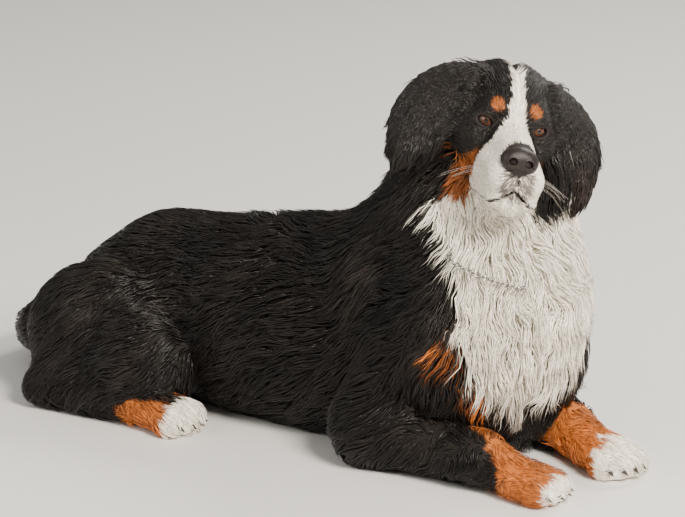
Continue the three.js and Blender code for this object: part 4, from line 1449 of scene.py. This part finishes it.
def grown(name, recipe, last, finish, paths, closed, sizes):
    """Run the tree on polylines, and keep the plain mesh that it makes."""
    last = recipe.node("GeometryNodeRealizeInstances", {}, (last,))[0]
    last = recipe.node("GeometryNodeSetMaterial", {}, {"Geometry": last, "Material": finish})[0]
    recipe.node("NodeGroupOutput", {}, (last,))
    carrier = placed(name + "_path", path_mesh(name, paths, closed))
    modifier = carrier.modifiers.new("growth", "NODES")
    modifier.node_group = recipe.tree
    for item in recipe.tree.interface.items_tree:
        if item.in_out == "INPUT" and item.name in sizes:
            modifier[item.identifier] = sizes[item.name]
    seen = carrier.evaluated_get(bpy.context.evaluated_depsgraph_get())
    plain = bpy.data.meshes.new_from_object(seen)
    bpy.data.objects.remove(carrier)
    plain.name = name
    plain.shade_smooth()
    made = placed(name, plain)
    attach(made, "root")
    return made


# %% The chain's links
CHAIN_SIZES = {"Link length": 0.0104, "Wire": 0.0011}
LINK_GAP, LINK_NARROW, LINK_LEAN = 0.74, 0.66, 0.6
recipe, (path, link_length, wire, *_) = growth("chain_links", CHAIN_SIZES)
curve = recipe.node("GeometryNodeMeshToCurve", {}, (path,))[0]
stops, tangent, *_ = recipe.node(
    "GeometryNodeCurveToPoints", {"mode": "LENGTH"}, {"Curve": curve, "Length": link_length * LINK_GAP}
)
index = recipe.node("GeometryNodeInputIndex")[0]
odd = recipe.node("ShaderNodeMath", {"operation": "MODULO"}, (index, 2.0))[0]
lie = recipe.node(
    "FunctionNodeAlignRotationToVector", {"axis": "X"}, {"Factor": 1.0, "Vector": tangent}
)[0]
quarter = recipe.node("ShaderNodeCombineXYZ", {}, (odd * (math.pi / 2) + LINK_LEAN, 0.0, 0.0))[0]
lie = recipe.node("FunctionNodeRotateRotation", {"rotation_space": "LOCAL"}, (lie, quarter))[0]
ring = recipe.node(
    "GeometryNodeCurvePrimitiveCircle", {}, {"Resolution": 16, "Radius": link_length * 0.5}
)[0]
oval = {"Geometry": ring, "Scale": (1.0, LINK_NARROW, 1.0)}
ring = recipe.node("GeometryNodeTransform", {}, oval)[0]
profile = recipe.node("GeometryNodeCurvePrimitiveCircle", {}, {"Resolution": 6, "Radius": wire})[0]
link = recipe.node("GeometryNodeCurveToMesh", {}, {"Curve": ring, "Profile Curve": profile})[0]
links = recipe.node(
    "GeometryNodeInstanceOnPoints", {}, {"Points": stops, "Instance": link, "Rotation": lie}
)[0]
silver, _ = finish_of("silver", (0.36, 0.35, 0.335), 0.25, metallic=1.0)
chain = grown("silver_chain", recipe, links, silver, [chain_path], True, CHAIN_SIZES)
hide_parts("collar_chain")
print("chain", len(chain.data.polygons), "faces")

# %% [markdown]
# ## Whiskers
# Stiff hairs grow in rows on the upper lip. Each is a thin tapered wire along a bent path.

# %% The whiskers' paths
whisker_draw = np.random.default_rng(77)
whisker_paths = []
for side, count in ((1, 8), (-1, 4)):
    for i in range(count):
        at = np.array((24 + 10 * (i % 5), side * 40, -62 - 12 * (i // 5)), "f")
        at[1] += hung(at[2])
        at, out = settled(head, at[None])[0], slope_of(head, at[None])[1][0]
        way = unit(out * 0.8 + np.array((-0.3, side * 0.5, -0.25 - 0.1 * (i // 6))))
        reach = whisker_draw.uniform(28, 58)
        bend = np.array((-0.12, 0, -0.3)) * whisker_draw.uniform(0.5, 1.4)
        steps = np.linspace(-0.04, 1, 9)
        whisker_paths.append(from_head([at + reach * (t * way + t * t * bend) for t in steps]))
print("whiskers", len(whisker_paths))

# %% The whiskers
WHISKER_SIZES = {"Thickness": 0.0001}
WHISKER_TAPER = 0.85
recipe, (path, thick, *_) = growth("whiskers", WHISKER_SIZES)
curve = recipe.node("GeometryNodeMeshToCurve", {}, (path,))[0]
along = recipe.node("GeometryNodeSplineParameter")[0]
tapered = {"Curve": curve, "Radius": 1 - along * WHISKER_TAPER}
curve = recipe.node("GeometryNodeSetCurveRadius", {}, tapered)[0]
profile = recipe.node("GeometryNodeCurvePrimitiveCircle", {}, {"Resolution": 5, "Radius": thick})[0]
wires = recipe.node(
    "GeometryNodeCurveToMesh", {}, {"Curve": curve, "Profile Curve": profile, "Fill Caps": True}
)[0]
stiff_hair, _ = finish_of("whisker", (0.62, 0.58, 0.52), 0.4)
whiskers = grown("whiskers", recipe, wires, stiff_hair, whisker_paths, False, WHISKER_SIZES)
print("whiskers", len(whiskers.data.polygons), "faces")
